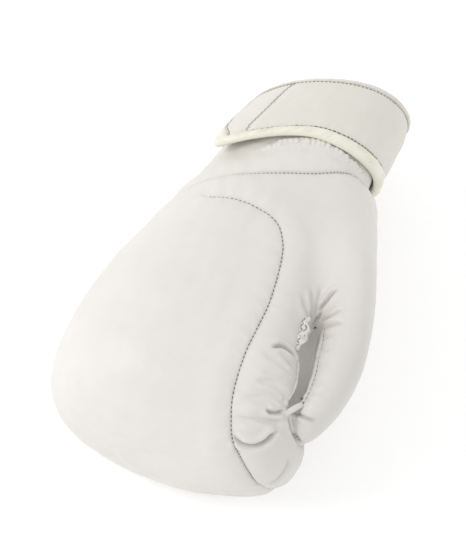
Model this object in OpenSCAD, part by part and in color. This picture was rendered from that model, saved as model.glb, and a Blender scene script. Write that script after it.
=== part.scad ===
// Boxing glove, right hand, lying on its little-finger side.
// +Z is the thumb side, -Y points to the knuckles, +Y to the wrist opening,
// +X is the palm and -X the back of the hand. Millimetres.

/* [Hand body] */
// Depth of the fist from the back of the hand to the palm
fist_depth = 149; // [140:1:158]
// Width of the fist from the thumb side to the middle plane
fist_rise = 67; // [62:1:70]
// Length of the hand body from the cuff joint to the knuckle front
body_len = 206; // [198:1:216]
// Half width of the hand space across the palm
hand_half_w = 46; // [42:1:48]
// Height of the flattened little-finger side below the middle plane
rest_drop = 61; // [59:0.5:62]

/* [Layers] */
// Thickness of the leather panels
skin_t = 1.6; // [1.2:0.1:2]
// Thickness of the lining cloth
lining_t = 1.2; // [0.8:0.1:1.6]
// Share of the padding taken by the outer foam layer
foam_split = 0.5; // [0.35:0.05:0.65]

/* [Thumb] */
// Scale of the thumb's cross-section
thumb_k = 1; // [0.94:0.01:1.04]
// Wall between the thumb leather and the thumb lining
thumb_pad = 9; // [8:0.5:10]

/* [Cuff] */
// Length of the cuff from its opening to the hand body
cuff_len = 52; // [50:1:56]
// Half depth of the cuff at its opening
cuff_r_open = 40; // [38:0.5:41]
// Half depth of the cuff where it meets the hand body
cuff_r_wrist = 46; // [45:0.5:47]
// Width of the cuff compared with its depth
cuff_oval = 1.1; // [1.06:0.01:1.12]
// Distance the opening is set towards the palm
cuff_skew = 15; // [13:0.2:17]
// Lean of the opening plane, palm side longer
rim_lean = 0.2; // [0.1:0.02:0.22]
// Whole thickness of the cuff wall
cuff_wall = 5; // [4.6:0.1:5.4]

/* [Strap] */
// Clear distance between the strap and the cuff leather
strap_gap = 1.5; // [1.4:0.1:2]
// Thickness of the strap without its bindings
strap_t = 4.2; // [3.6:0.1:4.4]
// Width of the folded binding on the fist side of the strap
bind_w = 8; // [6:0.5:9]
// How far the fist edge runs towards the knuckles at the free end, as a share of the cuff length
strap_veer = 0.5; // [0.3:0.05:0.55]
// Angle round the cuff of the sewn strap root
root_a = -20; // [-20:5:-15]
// Angle round the cuff of the first fold of the strap
fold_a = 35; // [35:5:40]
// Angle round the cuff of the tab fold
tab_a = 100; // [95:5:105]
// Angle by which the free end's fist corner is cut back on a slant
end_cut = 25; // [0:1:26]
// Angle round the cuff of the strap's free end
end_a = 175; // [170:5:175]

/* [Palm bar] */
// Diameter of the grip bar with its sleeve
bar_d = 14; // [12:0.5:15]

/* [Hidden] */

// shift that puts the origin at the bottom centre of the whole glove
ORG = [-1.14, 125.06, rest_drop];

kd = fist_depth / 149;
kr = fist_rise / 67;
kl = body_len / 206;
kh = hand_half_w / 46;
bar_len = 1.6*hand_half_w;   // length of the grip bar
T0 = cuff_len;               // plane where the cuff meets the hand body
cx1 = 16;                    // centre of the cuff joint towards the palm

// Stations of the hand body: distance from the opening plane, centre towards
// the palm, half depth, rise to the thumb side, drop to the other side,
// exponent of the section. The first row is the cuff joint.
HAND = [
  [T0,              cx1, cuff_r_wrist, cuff_r_wrist*cuff_oval, cuff_r_wrist*cuff_oval, 2.0],
  [T0 + 9*kl,       17.2, 51,        51.5,    52.5,  2.0],
  [T0 + 22*kl,      16,   53.5,      51.5,    56,   2.1],
  [T0 + 40*kl,      11.3, 56.8*kd,   54,      60,   2.2],
  [T0 + 64*kl,      5.6,  60.9*kd,   59*kr,   64,   2.3],
  [T0 + 93*kl,     -3.9,  63.3*kd,   63.5*kr, 66,   2.4],
  [T0 + 123*kl,   -10,    66*kd,     66*kr,   67,   2.5],
  [T0 + 148*kl,    -8,    71.9*kd,   67*kr,   67,   2.5],
  [T0 + 167*kl,    -4.7,  74.7*kd,   66.5*kr, 67,   2.5],
  [T0 + 182*kl,    -1.4,  73.9*kd,   63.5*kr, 66,   2.45],
  [T0 + 193.5*kl,  -0.6,  64.5*kd,   55.5*kr, 60,   2.4],
  [T0 + 201*kl,    -2,    47*kd,     43*kr,   47,   2.3],
  [T0 + 205*kl,    -2.5,  25*kd,     25*kr,   27,   2.1],
  [T0 + 206*kl,    -2.5,  0.8,       0.8,     0.8,  2.0]];

// Stations of the hand space, row by row the partners of HAND
CAV = [
  [T0,              cx1, cuff_r_wrist-cuff_wall, cuff_r_wrist*cuff_oval-cuff_wall, cuff_r_wrist*cuff_oval-cuff_wall, 2.0],
  [T0 + 9*kl,       15.5, 40,        43,      43,   2.0],
  [T0 + 22*kl,      13,   37,        43,      43,   2.1],
  [T0 + 38*kl,       9,   33,        44*kh,   44*kh,  2.2],
  [T0 + 60*kl,       4,   29,        45*kh,   45*kh,  2.3],
  [T0 + 86*kl,      -4,   29,        46*kh,   46*kh,  2.3],
  [T0 + 112*kl,     -8,   33,        46*kh,   46*kh,  2.3],
  [T0 + 132*kl,     -6,   37,        46*kh,   46*kh,  2.3],
  [T0 + 146*kl,     -1,   38,        45*kh,   45*kh,  2.3],
  [T0 + 156*kl,      2,   35,        42*kh,   42*kh,  2.3],
  [T0 + 164*kl,      4,   29,        36*kh,   36*kh,  2.2],
  [T0 + 169*kl,      5,   20,        26*kh,   26*kh,  2.1],
  [T0 + 172*kl,      5,   11,        14,      14,   2.0],
  [T0 + 173*kl,      5,   0.5,       0.5,     0.5,  2.0]];

// Thumb stations: distance, centre x, centre z, half width x, half height z
THUMB = [
  [T0 + 10*kl,      45.7, 10,   19.9*thumb_k, 18*thumb_k],
  [T0 + 32*kl,      50.7, 22,   21.5*thumb_k, 24*thumb_k],
  [T0 + 56*kl,      55,   31,   20.5*thumb_k, 27*thumb_k],
  [T0 + 80*kl,      61.5, 37,   17.8*thumb_k, 28*thumb_k],
  [T0 + 108*kl,     66.2, 42,   15.9*thumb_k, 27.5*thumb_k],
  [T0 + 132*kl,     66.2, 43.5, 15.9*thumb_k, 26.5*thumb_k],
  [T0 + 152*kl,     63.4, 43,   14.4*thumb_k, 24*thumb_k],
  [T0 + 166*kl,     59.8, 41,   11.5*thumb_k, 18*thumb_k],
  [T0 + 174*kl,     58.4, 40,   6.8*thumb_k,  10*thumb_k],
  [T0 + 177*kl,     58.1, 39.5, 0.6,  0.8]];

// Thumb space: same columns as THUMB, from inside the hand to the thumb tip
TSPACE = [
  [T0 + 30*kl,      18,   4,    13,   13],
  [T0 + 54*kl,      38,   20,   14.5, 15],
  [T0 + 78*kl,      56,   33,   12.5, 16],
  [T0 + 106*kl,     66.5, 41,   8.6,  16.5],
  [T0 + 130*kl,     68.5, 43,   7.8,  16],
  [T0 + 148*kl,     66,   42.5, 6.6,  13.5],
  [T0 + 159*kl,     62.5, 41.5, 4,    7],
  [T0 + 163*kl,     61.5, 41,   0.5,  0.6]];

// ---- interpolation and section functions ----
function cr(a, b, c, d, f) = 0.5*(2*b + (c - a)*f + (2*a - 5*b + 4*c - d)*f*f
                             + (3*b - a - 3*c + d)*f*f*f);
function row(T, u) = let(n = len(T), v = min(max(u, 0), n - 1), i = min(floor(v), n - 2),
    b = T[i], c = T[i + 1], a = i > 0 ? T[i - 1] : 2*b - c, d = i < n - 2 ? T[i + 2] : 2*c - b)
    cr(a, b, c, d, v - i);
function sp(v, e) = sign(v)*pow(abs(v), e);
function sect(T, u, th) = let(r = row(T, u), c = cos(th), s = sin(th), e = 2/r[5])
    [r[1] + r[2]*sp(c, e), -r[0], max(-rest_drop, (s > 0 ? r[3] : r[4])*sp(s, e))];

NT = 28;                                   // points round the hand body
US = concat([for (k = [0:13]) k*0.75], [10.4, 10.9, 11.4, 11.8, 12.2, 12.55, 12.8, 13]);
NU = len(US);
function ang(j) = 360*j/NT;
OUT = [for (u = US) [for (j = [0:NT - 1]) sect(HAND, u, ang(j))]];
INN = [for (u = US) [for (j = [0:NT - 1]) sect(CAV, u, ang(j))]];
// point at depth d below the outer surface, on the line to the hand space
function lay(i, j, d) = let(o = OUT[i][j], q = INN[i][j], n = norm(q - o)) o + (q - o)*(d/n);
function mid(i, j, k) = let(o = OUT[i][j], q = INN[i][j]) o + (q - o)*k;
function up(i, j, d) = let(o = OUT[i][j], q = INN[i][j], n = norm(q - o)) q + (o - q)*(d/n);
S1 = [for (i = [0:NU - 1]) [for (j = [0:NT - 1]) lay(i, j, i == 0 ? 1.4 : skin_t)]];
SM = [for (i = [0:NU - 1]) [for (j = [0:NT - 1]) mid(i, j, foam_split)]];
SL = [for (i = [0:NU - 1]) [for (j = [0:NT - 1]) up(i, j, lining_t)]];

// Thumb surfaces, shrunk by d and shortened at the tip
NV = 16;
TU = [for (k = [0:12]) k*0.6, 7.6, 8, 8.3, 8.6, 8.85, 9];
TL = [for (k = [0:9]) k*0.62, 6.1, 6.5, 6.8, 7];
function tsec(T, u, j) = let(r = row(T, u), a = 360*j/NV)
    [r[1] + r[3]*cos(a), -r[0], r[2] + r[4]*sin(a)];
TO = [for (u = TU) [for (j = [0:NV - 1]) tsec(THUMB, u, j)]];
TI = [for (u = TU) let(r = row(THUMB, u), q = row(TSPACE, u*7/9)) [for (j = [0:NV - 1])
       let(a = 360*j/NV, o = tsec(THUMB, u, j), c = [r[1], -r[0] + (u > 7 ? (u - 7)*3.5 : 0), r[2]],
           n = norm(c - o)) o + (c - o)*(min(skin_t, n*0.6)/n)]];
TC = [for (u = TL) [for (j = [0:NV - 1]) tsec(TSPACE, u, j)]];
TCI = [for (u = TL) let(r = row(TSPACE, u)) [for (j = [0:NV - 1])
       let(o = tsec(TSPACE, u, j), c = [r[1], -r[0] + (u > 5 ? (u - 5)*3 : 0), r[2]], n = norm(c - o))
           o + (c - o)*(min(lining_t, n*0.6)/n)]];

// ---- closed solids from grids of points ----
function flat2(G) = [for (r = G) for (p = r) p];
// whole tube from grid A, closed at both ends
module solid(A) { nu = len(A); nt = len(A[0]);
  polyhedron(flat2(A), concat(
    [for (i = [0:nu - 2]) for (j = [0:nt - 1]) let(k = (j + 1) % nt) each
       [[i*nt + j, (i + 1)*nt + j, (i + 1)*nt + k], [i*nt + j, (i + 1)*nt + k, i*nt + k]]],
    [[for (j = [0:nt - 1]) j]], [[for (j = [nt - 1:-1:0]) (nu - 1)*nt + j]]), convexity = 8); }
// shell between grid A outside and grid B inside, open at the first row
module shell(A, B) { nu = len(A); nt = len(A[0]); m = nu*nt;
  polyhedron(concat(flat2(A), flat2(B)), concat(
    [for (i = [0:nu - 2]) for (j = [0:nt - 1]) let(k = (j + 1) % nt) each
       [[i*nt + j, (i + 1)*nt + j, (i + 1)*nt + k], [i*nt + j, (i + 1)*nt + k, i*nt + k],
        [m + i*nt + j, m + (i + 1)*nt + k, m + (i + 1)*nt + j], [m + i*nt + j, m + i*nt + k, m + (i + 1)*nt + k]]],
    [for (j = [0:nt - 1]) let(k = (j + 1) % nt) each [[j, k, m + k], [j, m + k, m + j]]],
    [[for (j = [nt - 1:-1:0]) (nu - 1)*nt + j]], [[for (j = [0:nt - 1]) m + (nu - 1)*nt + j]]),
    convexity = 8); }
// closed ring between rows i0..i1 of grids A outside and B inside
module ring(A, B, i0, i1) { nt = len(A[0]); h = i1 - i0 + 1; m = nt*h;
  polyhedron(concat([for (i = [i0:i1]) for (p = A[i]) p], [for (i = [i0:i1]) for (p = B[i]) p]), concat(
    [for (i = [0:h - 2]) for (j = [0:nt - 1]) let(k = (j + 1) % nt) each
       [[i*nt + j, (i + 1)*nt + j, (i + 1)*nt + k], [i*nt + j, (i + 1)*nt + k, i*nt + k],
        [m + i*nt + j, m + (i + 1)*nt + k, m + (i + 1)*nt + j], [m + i*nt + j, m + i*nt + k, m + (i + 1)*nt + k]]],
    [for (j = [0:nt - 1]) let(k = (j + 1) % nt, q = (h - 1)*nt) each
       [[j, k, m + k], [j, m + k, m + j], [q + j, m + q + k, q + k], [q + j, m + q + j, m + q + k]]]),
    convexity = 8); }
// panel between rows i0..i1 and columns j0..j1 of grids A outside and B inside
module panel(A, B, i0, i1, j0, j1) { nt = len(A[0]); w = j1 - j0 + 1; h = i1 - i0 + 1; m = w*h;
  function id(i, j) = i*w + j;
  polyhedron(concat([for (i = [i0:i1]) for (j = [j0:j1]) A[i][(j + nt) % nt]],
                    [for (i = [i0:i1]) for (j = [j0:j1]) B[i][(j + nt) % nt]]), concat(
    [for (i = [0:h - 2]) for (j = [0:w - 2]) each
       [[id(i, j), id(i + 1, j), id(i + 1, j + 1)], [id(i, j), id(i + 1, j + 1), id(i, j + 1)],
        [m + id(i, j), m + id(i + 1, j + 1), m + id(i + 1, j)], [m + id(i, j), m + id(i, j + 1), m + id(i + 1, j + 1)]]],
    [for (j = [0:w - 2]) each
       [[id(0, j), id(0, j + 1), m + id(0, j + 1)], [id(0, j), m + id(0, j + 1), m + id(0, j)],
        [id(h - 1, j), m + id(h - 1, j + 1), id(h - 1, j + 1)], [id(h - 1, j), m + id(h - 1, j), m + id(h - 1, j + 1)]]],
    [for (i = [0:h - 2]) each
       [[id(i, 0), m + id(i + 1, 0), id(i + 1, 0)], [id(i, 0), m + id(i, 0), m + id(i + 1, 0)],
        [id(i, w - 1), id(i + 1, w - 1), m + id(i + 1, w - 1)], [id(i, w - 1), m + id(i + 1, w - 1), m + id(i, w - 1)]]]),
    convexity = 8); }

// ---- cuff and strap: a skewed cone, s = 0 at the opening and 1 at the hand ----
function kp(s, a, off) = let(r = cuff_r_open + (cuff_r_wrist - cuff_r_open)*s)
    [cx1 + cuff_skew*(1 - s) + (r + off)*cos(a), rim_lean*(1 - s)*r*cos(a) - cuff_len*s,
     (r*cuff_oval + off)*sin(a)];
// curved band from angle a0 to a1, between s0 and s1 and offsets o0 and o1
module band(a0, a1, s0, s1, o0, o1, st = 5, lean = 0) {
  n = round((a1 - a0)/st); function a(k) = a0 + (a1 - a0)*k/n; function t(s, k) = s*(1 - lean*cos(a(k)));
  A = [for (s = [s0, s1]) [for (k = [0:n]) kp(t(s, k), a(k), o1)]];
  B = [for (s = [s0, s1]) [for (k = [0:n]) kp(t(s, k), a(k), o0)]];
  panel(A, B, 0, 1, 0, n); }
// band of the strap: its fist edge leans like the opening, and past the thumb side
// the strap widens and runs towards the knuckles over the back of the wrist
function veer(a) = let(k = min(max((a - 90)/85, 0), 1)) k*k*(3 - 2*k);
// cut slants the end back from 0.4 of the width towards the fist edge
module sband(a0, a1, s0, s1, o0, o1, st = 5, cut = 0) {
  n = round((a1 - a0)/st);
  function a(s, k) = a0 + (a1 - cut*max(0, (s - 0.4)/0.56) - a0)*k/n;
  function t(s, k) = let(b = a(s, k)) s*(1 - 0.066*cos(b)) + veer(b)*(0.12 + (strap_veer - 0.12)*s);
  function p(s, k, o) = kp(t(s, k), a(s, k), o + 2.5*veer(a(s, k)));
  S = cut > 0 && s0 < 0.4 && s1 > 0.4 ? [s0, 0.4, s1] : [s0, s1];
  A = [for (s = S) [for (k = [0:n]) p(s, k, o1)]];
  B = [for (s = S) [for (k = [0:n]) p(s, k, o0)]];
  panel(A, B, 0, len(S) - 1, 0, n); }
function ss(y) = y/cuff_len;               // length along the cuff as a share
s_far = ss(1);                             // opening edge of the strap
s_near = ss(cuff_len - 2);                 // fist edge of the strap
s_bind = s_near - ss(bind_w);
s_edge = s_far + ss(3);
g0 = strap_gap;
g1 = strap_gap + 0.9;
g2 = strap_gap + strap_t - 1.4;
g3 = strap_gap + strap_t;
j_gap = 0.35;                              // angle kept clear at each fold

module at() translate(ORG) children();

white = [0.9, 0.885, 0.865];
shade = [0.84, 0.83, 0.80];
cream = [0.88, 0.87, 0.80];
foamc = [0.75, 0.74, 0.70];
linec = [0.80, 0.79, 0.77];

module thumb_hole() solid(TC);
module hand_mass() solid(OUT);
module thumb_mass() solid(TO);

// ---- hand body ----
module back_panel() color(white) at() panel(OUT, S1, 3, NU - 1, 6, 20);
module index_side_panel() color(white) at() difference() { panel(OUT, S1, 3, NU - 1, 3, 6); thumb_hole(); }
module palm_panel() color(shade) at() difference() { panel(OUT, S1, 3, 9, -3, 3); thumb_hole(); }
module finger_curl_panel() color(shade) at() difference() { panel(OUT, S1, 9, NU - 1, -3, 3); thumb_hole(); }
module ulnar_side_panel() color(white) at() panel(OUT, S1, 3, NU - 1, 20, 25);
module wrist_panel() color(white) at() ring(OUT, S1, 0, 3);
module knuckle_foam_outer() color(foamc) at() difference() { shell(S1, SM); thumb_hole(); }
module knuckle_foam_inner() color(foamc) at() difference() { shell(SM, SL); thumb_hole(); }
module lining_part(j0, j1) difference() { panel(SL, INN, 0, NU - 1, j0, j1); solid(TCI); }
module lining_back() color(linec) at() panel(SL, INN, 0, NU - 1, 11, 17);
module lining_index_side() color(linec) at() lining_part(4, 11);
module lining_palm() color(linec) at() lining_part(-3, 4);
module lining_little_side() color(linec) at() panel(SL, INN, 0, NU - 1, 17, 25);
module grip_bar_core() color(foamc) at()
  translate([4, -(T0 + 122*kl), -bar_len/2]) cylinder(d = bar_d - 4, h = bar_len);
module grip_bar_sleeve() color(shade) at()
  translate([4, -(T0 + 122*kl), -bar_len/2]) difference() {
    cylinder(d = bar_d, h = bar_len);
    translate([0, 0, -1]) cylinder(d = bar_d - 4, h = bar_len + 2);
  }

// ---- thumb ----
module thumb_outer_panel() color(shade) at() difference() { panel(TO, TI, 0, len(TU) - 1, -4, 4); hand_mass(); }
module thumb_inner_panel() color(shade) at() difference() { panel(TO, TI, 0, len(TU) - 1, 4, 12); hand_mass(); }
module thumb_foam() color(foamc) at() difference() { solid(TI); thumb_hole(); hand_mass(); }
module thumb_lining_outer() color(linec) at() difference() { panel(TC, TCI, 0, len(TL) - 1, -4, 4); solid(SL); }
module thumb_lining_inner() color(linec) at() difference() { panel(TC, TCI, 0, len(TL) - 1, 4, 12); solid(SL); }
module thumb_lock_strip() color(white) at() difference() {
  translate([50, -(T0 + 157*kl), 62.4]) rotate([0, -9, 0]) cube([26, 5, 3], center = true);
  hand_mass(); thumb_mass();
}

// ---- cuff ----
slit = 10;
module cuff_shell() color(white) at() band(slit, 360 - slit, 0.05, 1, -1.4, 0);
module cuff_foam() color(foamc) at() band(slit, 360 - slit, 0.05, 1, -(cuff_wall - 1), -1.4);
module cuff_lining() color(linec) at() band(slit, 360 - slit, 0.05, 1, -cuff_wall, -(cuff_wall - 1));
module cuff_edge_binding() color(cream) at() band(slit, 360 - slit, 0, 0.05, -cuff_wall, 0);
module cuff_gusset() color(shade) at() band(-25, 25, 0.05, 1, -cuff_wall - 1.4, -cuff_wall - 0.05);
module loop_patch() color(linec) at() band(110, 180, 0.17, 0.85, 0.25, 1.1);
module strap_anchor() color(white) at() sband(-60, root_a - j_gap, s_edge, s_bind, 0.05, g2);
module strap_anchor_stitches() color(shade) at()
  for (k = [0:7]) let(s = s_edge + (s_bind - s_edge)*(k + 0.5)/8)
    sband(-32, -28, s - 0.015, s + 0.015, g2 + 0.02, g2 + 0.6, 2);

// ---- strap, in three parts that fold at lines along the cuff ----
module s_leather(a, b, c = 0) color(white) at() sband(a, b, s_edge, s_bind, g2, g3, cut = c);
module s_foam(a, b, c = 0) color(foamc) at() sband(a, b, s_edge, s_bind, g1, g2, cut = c);
module s_line(a, b, c = 0) color(linec) at() sband(a, b, s_edge, s_bind, g0, g1, cut = c);
module s_bindg(a, b, c = 0) color(cream) at() sband(a, b, s_bind, s_near, g0, g3 + 0.5, cut = c);
module s_edgeb(a, b) color(cream) at() sband(a, b, s_far, s_edge, g0, g3 + 0.2);
module strap_base_leather() s_leather(root_a + j_gap, fold_a - j_gap);
module strap_base_foam() s_foam(root_a + j_gap, fold_a - j_gap);
module strap_base_lining() s_line(root_a + j_gap, fold_a - j_gap);
module strap_base_binding() s_bindg(root_a + j_gap, fold_a - j_gap);
module strap_base_edge() s_edgeb(root_a + j_gap, fold_a - j_gap);
module strap_wrap_leather() s_leather(fold_a + j_gap, tab_a - j_gap);
module strap_wrap_foam() s_foam(fold_a + j_gap, tab_a - j_gap);
module strap_wrap_lining() s_line(fold_a + j_gap, tab_a - j_gap);
module strap_wrap_binding() s_bindg(fold_a + j_gap, tab_a - j_gap);
module strap_wrap_edge() s_edgeb(fold_a + j_gap, tab_a - j_gap);
module strap_tab_leather() s_leather(tab_a + j_gap, end_a, end_cut);
module strap_tab_foam() s_foam(tab_a + j_gap, end_a, end_cut);
module strap_hook_patch() s_line(tab_a + j_gap, end_a, end_cut);
module strap_tab_binding() s_bindg(tab_a + j_gap, end_a, end_cut);
module strap_tab_edge() s_edgeb(tab_a + j_gap, end_a);

back_panel();
index_side_panel();
palm_panel();
finger_curl_panel();
ulnar_side_panel();
wrist_panel();
knuckle_foam_outer();
knuckle_foam_inner();
lining_back();
lining_index_side();
lining_palm();
lining_little_side();
thumb_outer_panel();
thumb_inner_panel();
thumb_foam();
thumb_lining_outer();
thumb_lining_inner();
thumb_lock_strip();
grip_bar_core();
grip_bar_sleeve();
cuff_shell();
cuff_foam();
cuff_lining();
cuff_edge_binding();
cuff_gusset();
loop_patch();
strap_anchor();
strap_anchor_stitches();
strap_base_leather();
strap_base_foam();
strap_base_lining();
strap_base_binding();
strap_base_edge();
strap_wrap_leather();
strap_wrap_foam();
strap_wrap_lining();
strap_wrap_binding();
strap_wrap_edge();
strap_tab_leather();
strap_tab_foam();
strap_hook_patch();
strap_tab_binding();
strap_tab_edge();
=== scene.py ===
import bpy, math
import numpy as np
from mathutils import Vector, Matrix
from mathutils.bvhtree import BVHTree


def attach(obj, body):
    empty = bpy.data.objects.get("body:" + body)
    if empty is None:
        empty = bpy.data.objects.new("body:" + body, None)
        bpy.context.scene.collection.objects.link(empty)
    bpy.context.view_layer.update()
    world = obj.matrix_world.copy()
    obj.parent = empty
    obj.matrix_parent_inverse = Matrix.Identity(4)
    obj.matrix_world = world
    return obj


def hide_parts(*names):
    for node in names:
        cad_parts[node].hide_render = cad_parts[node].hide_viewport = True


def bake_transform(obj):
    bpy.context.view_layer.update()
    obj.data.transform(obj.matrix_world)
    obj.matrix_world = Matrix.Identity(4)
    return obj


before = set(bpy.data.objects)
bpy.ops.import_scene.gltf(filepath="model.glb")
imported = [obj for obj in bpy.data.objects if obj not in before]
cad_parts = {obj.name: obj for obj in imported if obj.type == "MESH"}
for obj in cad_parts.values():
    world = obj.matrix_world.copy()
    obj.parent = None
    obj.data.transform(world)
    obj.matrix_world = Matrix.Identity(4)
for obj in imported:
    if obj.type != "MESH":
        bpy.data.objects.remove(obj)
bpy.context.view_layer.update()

# ------------------------------------------------------------------ frame
# Design coordinates in mm: x to the palm, t from the wrist opening towards
# the knuckles, z to the thumb side. The CAD frame is (x, -t, z) + ORG.
ORG = np.array([-1.14, 125.06, 61.0])
rng = np.random.default_rng(7)


def W(P):
    """design (x, t, z) in mm to the frame in metres"""
    P = np.asarray(P, float)
    return (P * [1, -1, 1] + ORG) / 1000.0


# ------------------------------------------------------------------ camera
def camera():
    cam = bpy.data.objects.new("cam", bpy.data.cameras.new("cam"))
    bpy.context.scene.collection.objects.link(cam)
    r = Vector((0.90899, 0.29870, 0.29071))
    u = Vector((-0.38491, 0.86918, 0.31044))
    c = Vector((-0.15995, -0.39409, 0.90505))
    m = Matrix((r, u, c)).transposed().to_4x4()
    pos = (np.array([-144.947, -529.087, 905.048]) + ORG) / 1000.0
    m.translation = Vector(pos)
    cam.matrix_world = m
    cam.data.sensor_fit = "AUTO"
    cam.data.sensor_width = 36.0
    cam.data.lens = 1666.16 / 560.0 * 36.0
    cam.data.shift_x = (233.0 - 251.56) / 560.0
    cam.data.shift_y = (290.555 - 280.0) / 560.0
    cam.data.clip_start, cam.data.clip_end = 0.05, 20.0
    bpy.context.scene.camera = cam
    return cam


camera()

# ------------------------------------------------------------------ tables
T0 = 52.0
# t, centre x, half depth, rise, drop, exponent (other quadrants), exponent (thumb-side palm quadrant)
HAND = [
    [T0 - 14, 17.0, 44.0, 48.5, 48.5, 2.0, 2.0],
    [T0, 16.0, 46.5, 50.8, 50.8, 2.0, 2.0],
    [T0 + 9, 17.2, 51.0, 51.5, 52.5, 2.0, 2.0],
    [T0 + 22, 16.0, 53.5, 51.5, 56.0, 2.1, 2.1],
    [T0 + 40, 11.3, 56.8, 54.0, 60.0, 2.2, 2.2],
    [T0 + 64, 5.6, 60.9, 59.0, 64.0, 2.3, 2.35],
    [T0 + 93, -3.9, 63.3, 63.5, 66.0, 2.4, 2.7],
    [T0 + 123, -10.0, 66.0, 66.0, 67.0, 2.5, 3.1],
    [T0 + 148, -8.0, 71.9, 67.0, 67.0, 2.5, 3.1],
    [T0 + 167, -4.7, 74.7, 66.5, 67.0, 2.5, 2.8],
    [T0 + 182, -1.4, 73.9, 63.5, 66.0, 2.45, 2.5],
    [T0 + 193.5, -0.6, 64.5, 55.5, 60.0, 2.4, 2.4],
    [T0 + 201, -2.0, 47.0, 43.0, 47.0, 2.3, 2.3],
    [T0 + 205, -2.5, 25.0, 25.0, 27.0, 2.1, 2.1],
    [T0 + 206, -2.5, 0.8, 0.8, 0.8, 2.0, 2.0],
]
# t, centre x, centre z, half width x, half height z
THUMB = [
    [T0 + 10, 45.7, 10.0, 19.9, 18.0],
    [T0 + 32, 50.7, 22.0, 21.5, 24.0],
    [T0 + 56, 55.0, 31.0, 20.5, 27.0],
    [T0 + 80, 61.3, 37.0, 18.0, 28.0],
    [T0 + 108, 65.8, 42.0, 16.2, 27.5],
    [T0 + 132, 65.7, 43.5, 16.4, 26.5],
    [T0 + 152, 63.0, 43.0, 14.8, 24.0],
    [T0 + 166, 59.5, 41.0, 11.8, 18.0],
    [T0 + 174, 58.3, 40.0, 7.0, 10.0],
    [T0 + 177, 58.0, 39.5, 0.8, 0.9],
]


def catmull(T, u):
    T = np.asarray(T, float)
    n = len(T)
    u = np.clip(np.asarray(u, float), 0, n - 1)
    i = np.minimum(np.floor(u).astype(int), n - 2)
    f = (u - i)[..., None]
    b, c = T[i], T[i + 1]
    a = np.where((i > 0)[..., None], T[np.maximum(i - 1, 0)], 2 * b - c)
    d = np.where((i < n - 2)[..., None], T[np.minimum(i + 2, n - 1)], 2 * c - b)
    return 0.5 * (2 * b + (c - a) * f + (2 * a - 5 * b + 4 * c - d) * f * f + (3 * b - a - 3 * c + d) * f ** 3)


def by_t(T, t):
    u = np.linspace(0, len(T) - 1, 600)
    R = catmull(T, u)
    R[:, 0] = np.maximum.accumulate(R[:, 0])
    return np.stack([np.interp(t, R[:, 0], R[:, k]) for k in range(1, R.shape[1])], -1)


def smooth_min(a, b, k):
    h = np.clip(0.5 + 0.5 * (b - a) / k, 0, 1)
    return b * (1 - h) + a * h - k * h * (1 - h)


def smoothstep(e0, e1, x):
    s = np.clip((x - e0) / (e1 - e0), 0, 1)
    return s * s * (3 - 2 * s)


H = 1.4
X = np.arange(-90, 92, H, dtype=np.float32)
Tt = np.arange(36, 266, H, dtype=np.float32)
Z = np.arange(-68, 78, H, dtype=np.float32)


def norm_dist(g):
    gx, gt, gz = np.gradient(g, H)
    m = np.sqrt(gx * gx + gt * gt + gz * gz)
    return g / np.clip(m, 0.25, None)


def field_body():
    R = by_t(HAND, Tt).astype(np.float32)
    x = X[:, None, None]
    z = Z[None, None, :]
    cx, bx, wr, wu, n, nq = [R[:, k][None, :, None] for k in range(6)]
    w = np.where(z > 0, wr, wu)
    s = smoothstep(-8, 14, x - cx) * smoothstep(-4, 14, z)
    e = n + (nq - n) * s
    q = (np.abs((x - cx) / bx) ** e + np.abs(z / w) ** e + 1e-9) ** (1 / e)
    g = (q - 1) * np.minimum(bx, w)
    g = np.maximum(g, (Tt - (T0 + 206))[None, :, None])
    g = norm_dist(g.astype(np.float32))
    # flattened little-finger side where it rests
    return -smooth_min(-g, -(-61.0 - z + 0 * g), 5.0)


def field_thumb():
    R = by_t(THUMB, Tt).astype(np.float32)
    x = X[:, None, None]
    z = Z[None, None, :]
    cx, cz, rx, rz = [R[:, k][None, :, None] for k in range(4)]
    q = np.sqrt(((x - cx) / rx) ** 2 + ((z - cz) / rz) ** 2 + 1e-9)
    g = (q - 1) * np.minimum(rx, rz)
    g = np.maximum(g, (Tt - (T0 + 177))[None, :, None])
    g = np.maximum(g, ((T0 + 12) - Tt)[None, :, None])
    return norm_dist(g.astype(np.float32))


def extract(F):
    import openvdb as vdb
    grid = vdb.FloatGrid(5.0)
    grid.copyFromArray(np.ascontiguousarray(np.clip(F, -5, 5)))
    pts, quads = grid.convertToQuads(0.0)
    pts = np.asarray(pts, float)
    P = np.stack([X[0] + pts[:, 0] * H, Tt[0] + pts[:, 1] * H, Z[0] + pts[:, 2] * H], -1)
    return P, np.asarray(quads, int)


def smooth_max(a, b, k):
    return -smooth_min(-a, -b, k)


def ellipsoid(c, r, e=2.0):
    q = (np.abs((X[:, None, None] - c[0]) / r[0]) ** e + np.abs((Tt[None, :, None] - c[1]) / r[1]) ** e + np.abs((Z[None, None, :] - c[2]) / r[2]) ** e + 1e-9) ** (1 / e)
    return norm_dist(((q - 1) * min(r)).astype(np.float32))


dB = field_body()
dT = field_thumb()
# the hand body is hollowed beside the thumb, where the gap between them is
dB = smooth_max(dB, -ellipsoid((62.5, 186, 57.5), (17.6, 27, 13.0), 2.6), 2.0)
# the curled fingers fold over the palm
ca, sa = math.cos(math.radians(38)), math.sin(math.radians(38))
fx, ft = X[:, None, None] - 66.0, Tt[None, :, None] - 203.0
fu, fv = fx * ca - ft * sa, fx * sa + ft * ca
fold = np.sqrt((fu / 15.0) ** 2 + (fv / 5.0) ** 2) * 5.0 - 5.0
fold = np.maximum(fold + 0 * Z[None, None, :], (np.abs(Z + 18.0) - 36.0)[None, None, :] * 0.5)
dB = smooth_max(dB, -fold.astype(np.float32), 5.0)
kk = (1.6 + 15.0 * (1 - smoothstep(128, 168, Tt)))[None, :, None]
D = smooth_min(dB, dT, kk)
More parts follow.
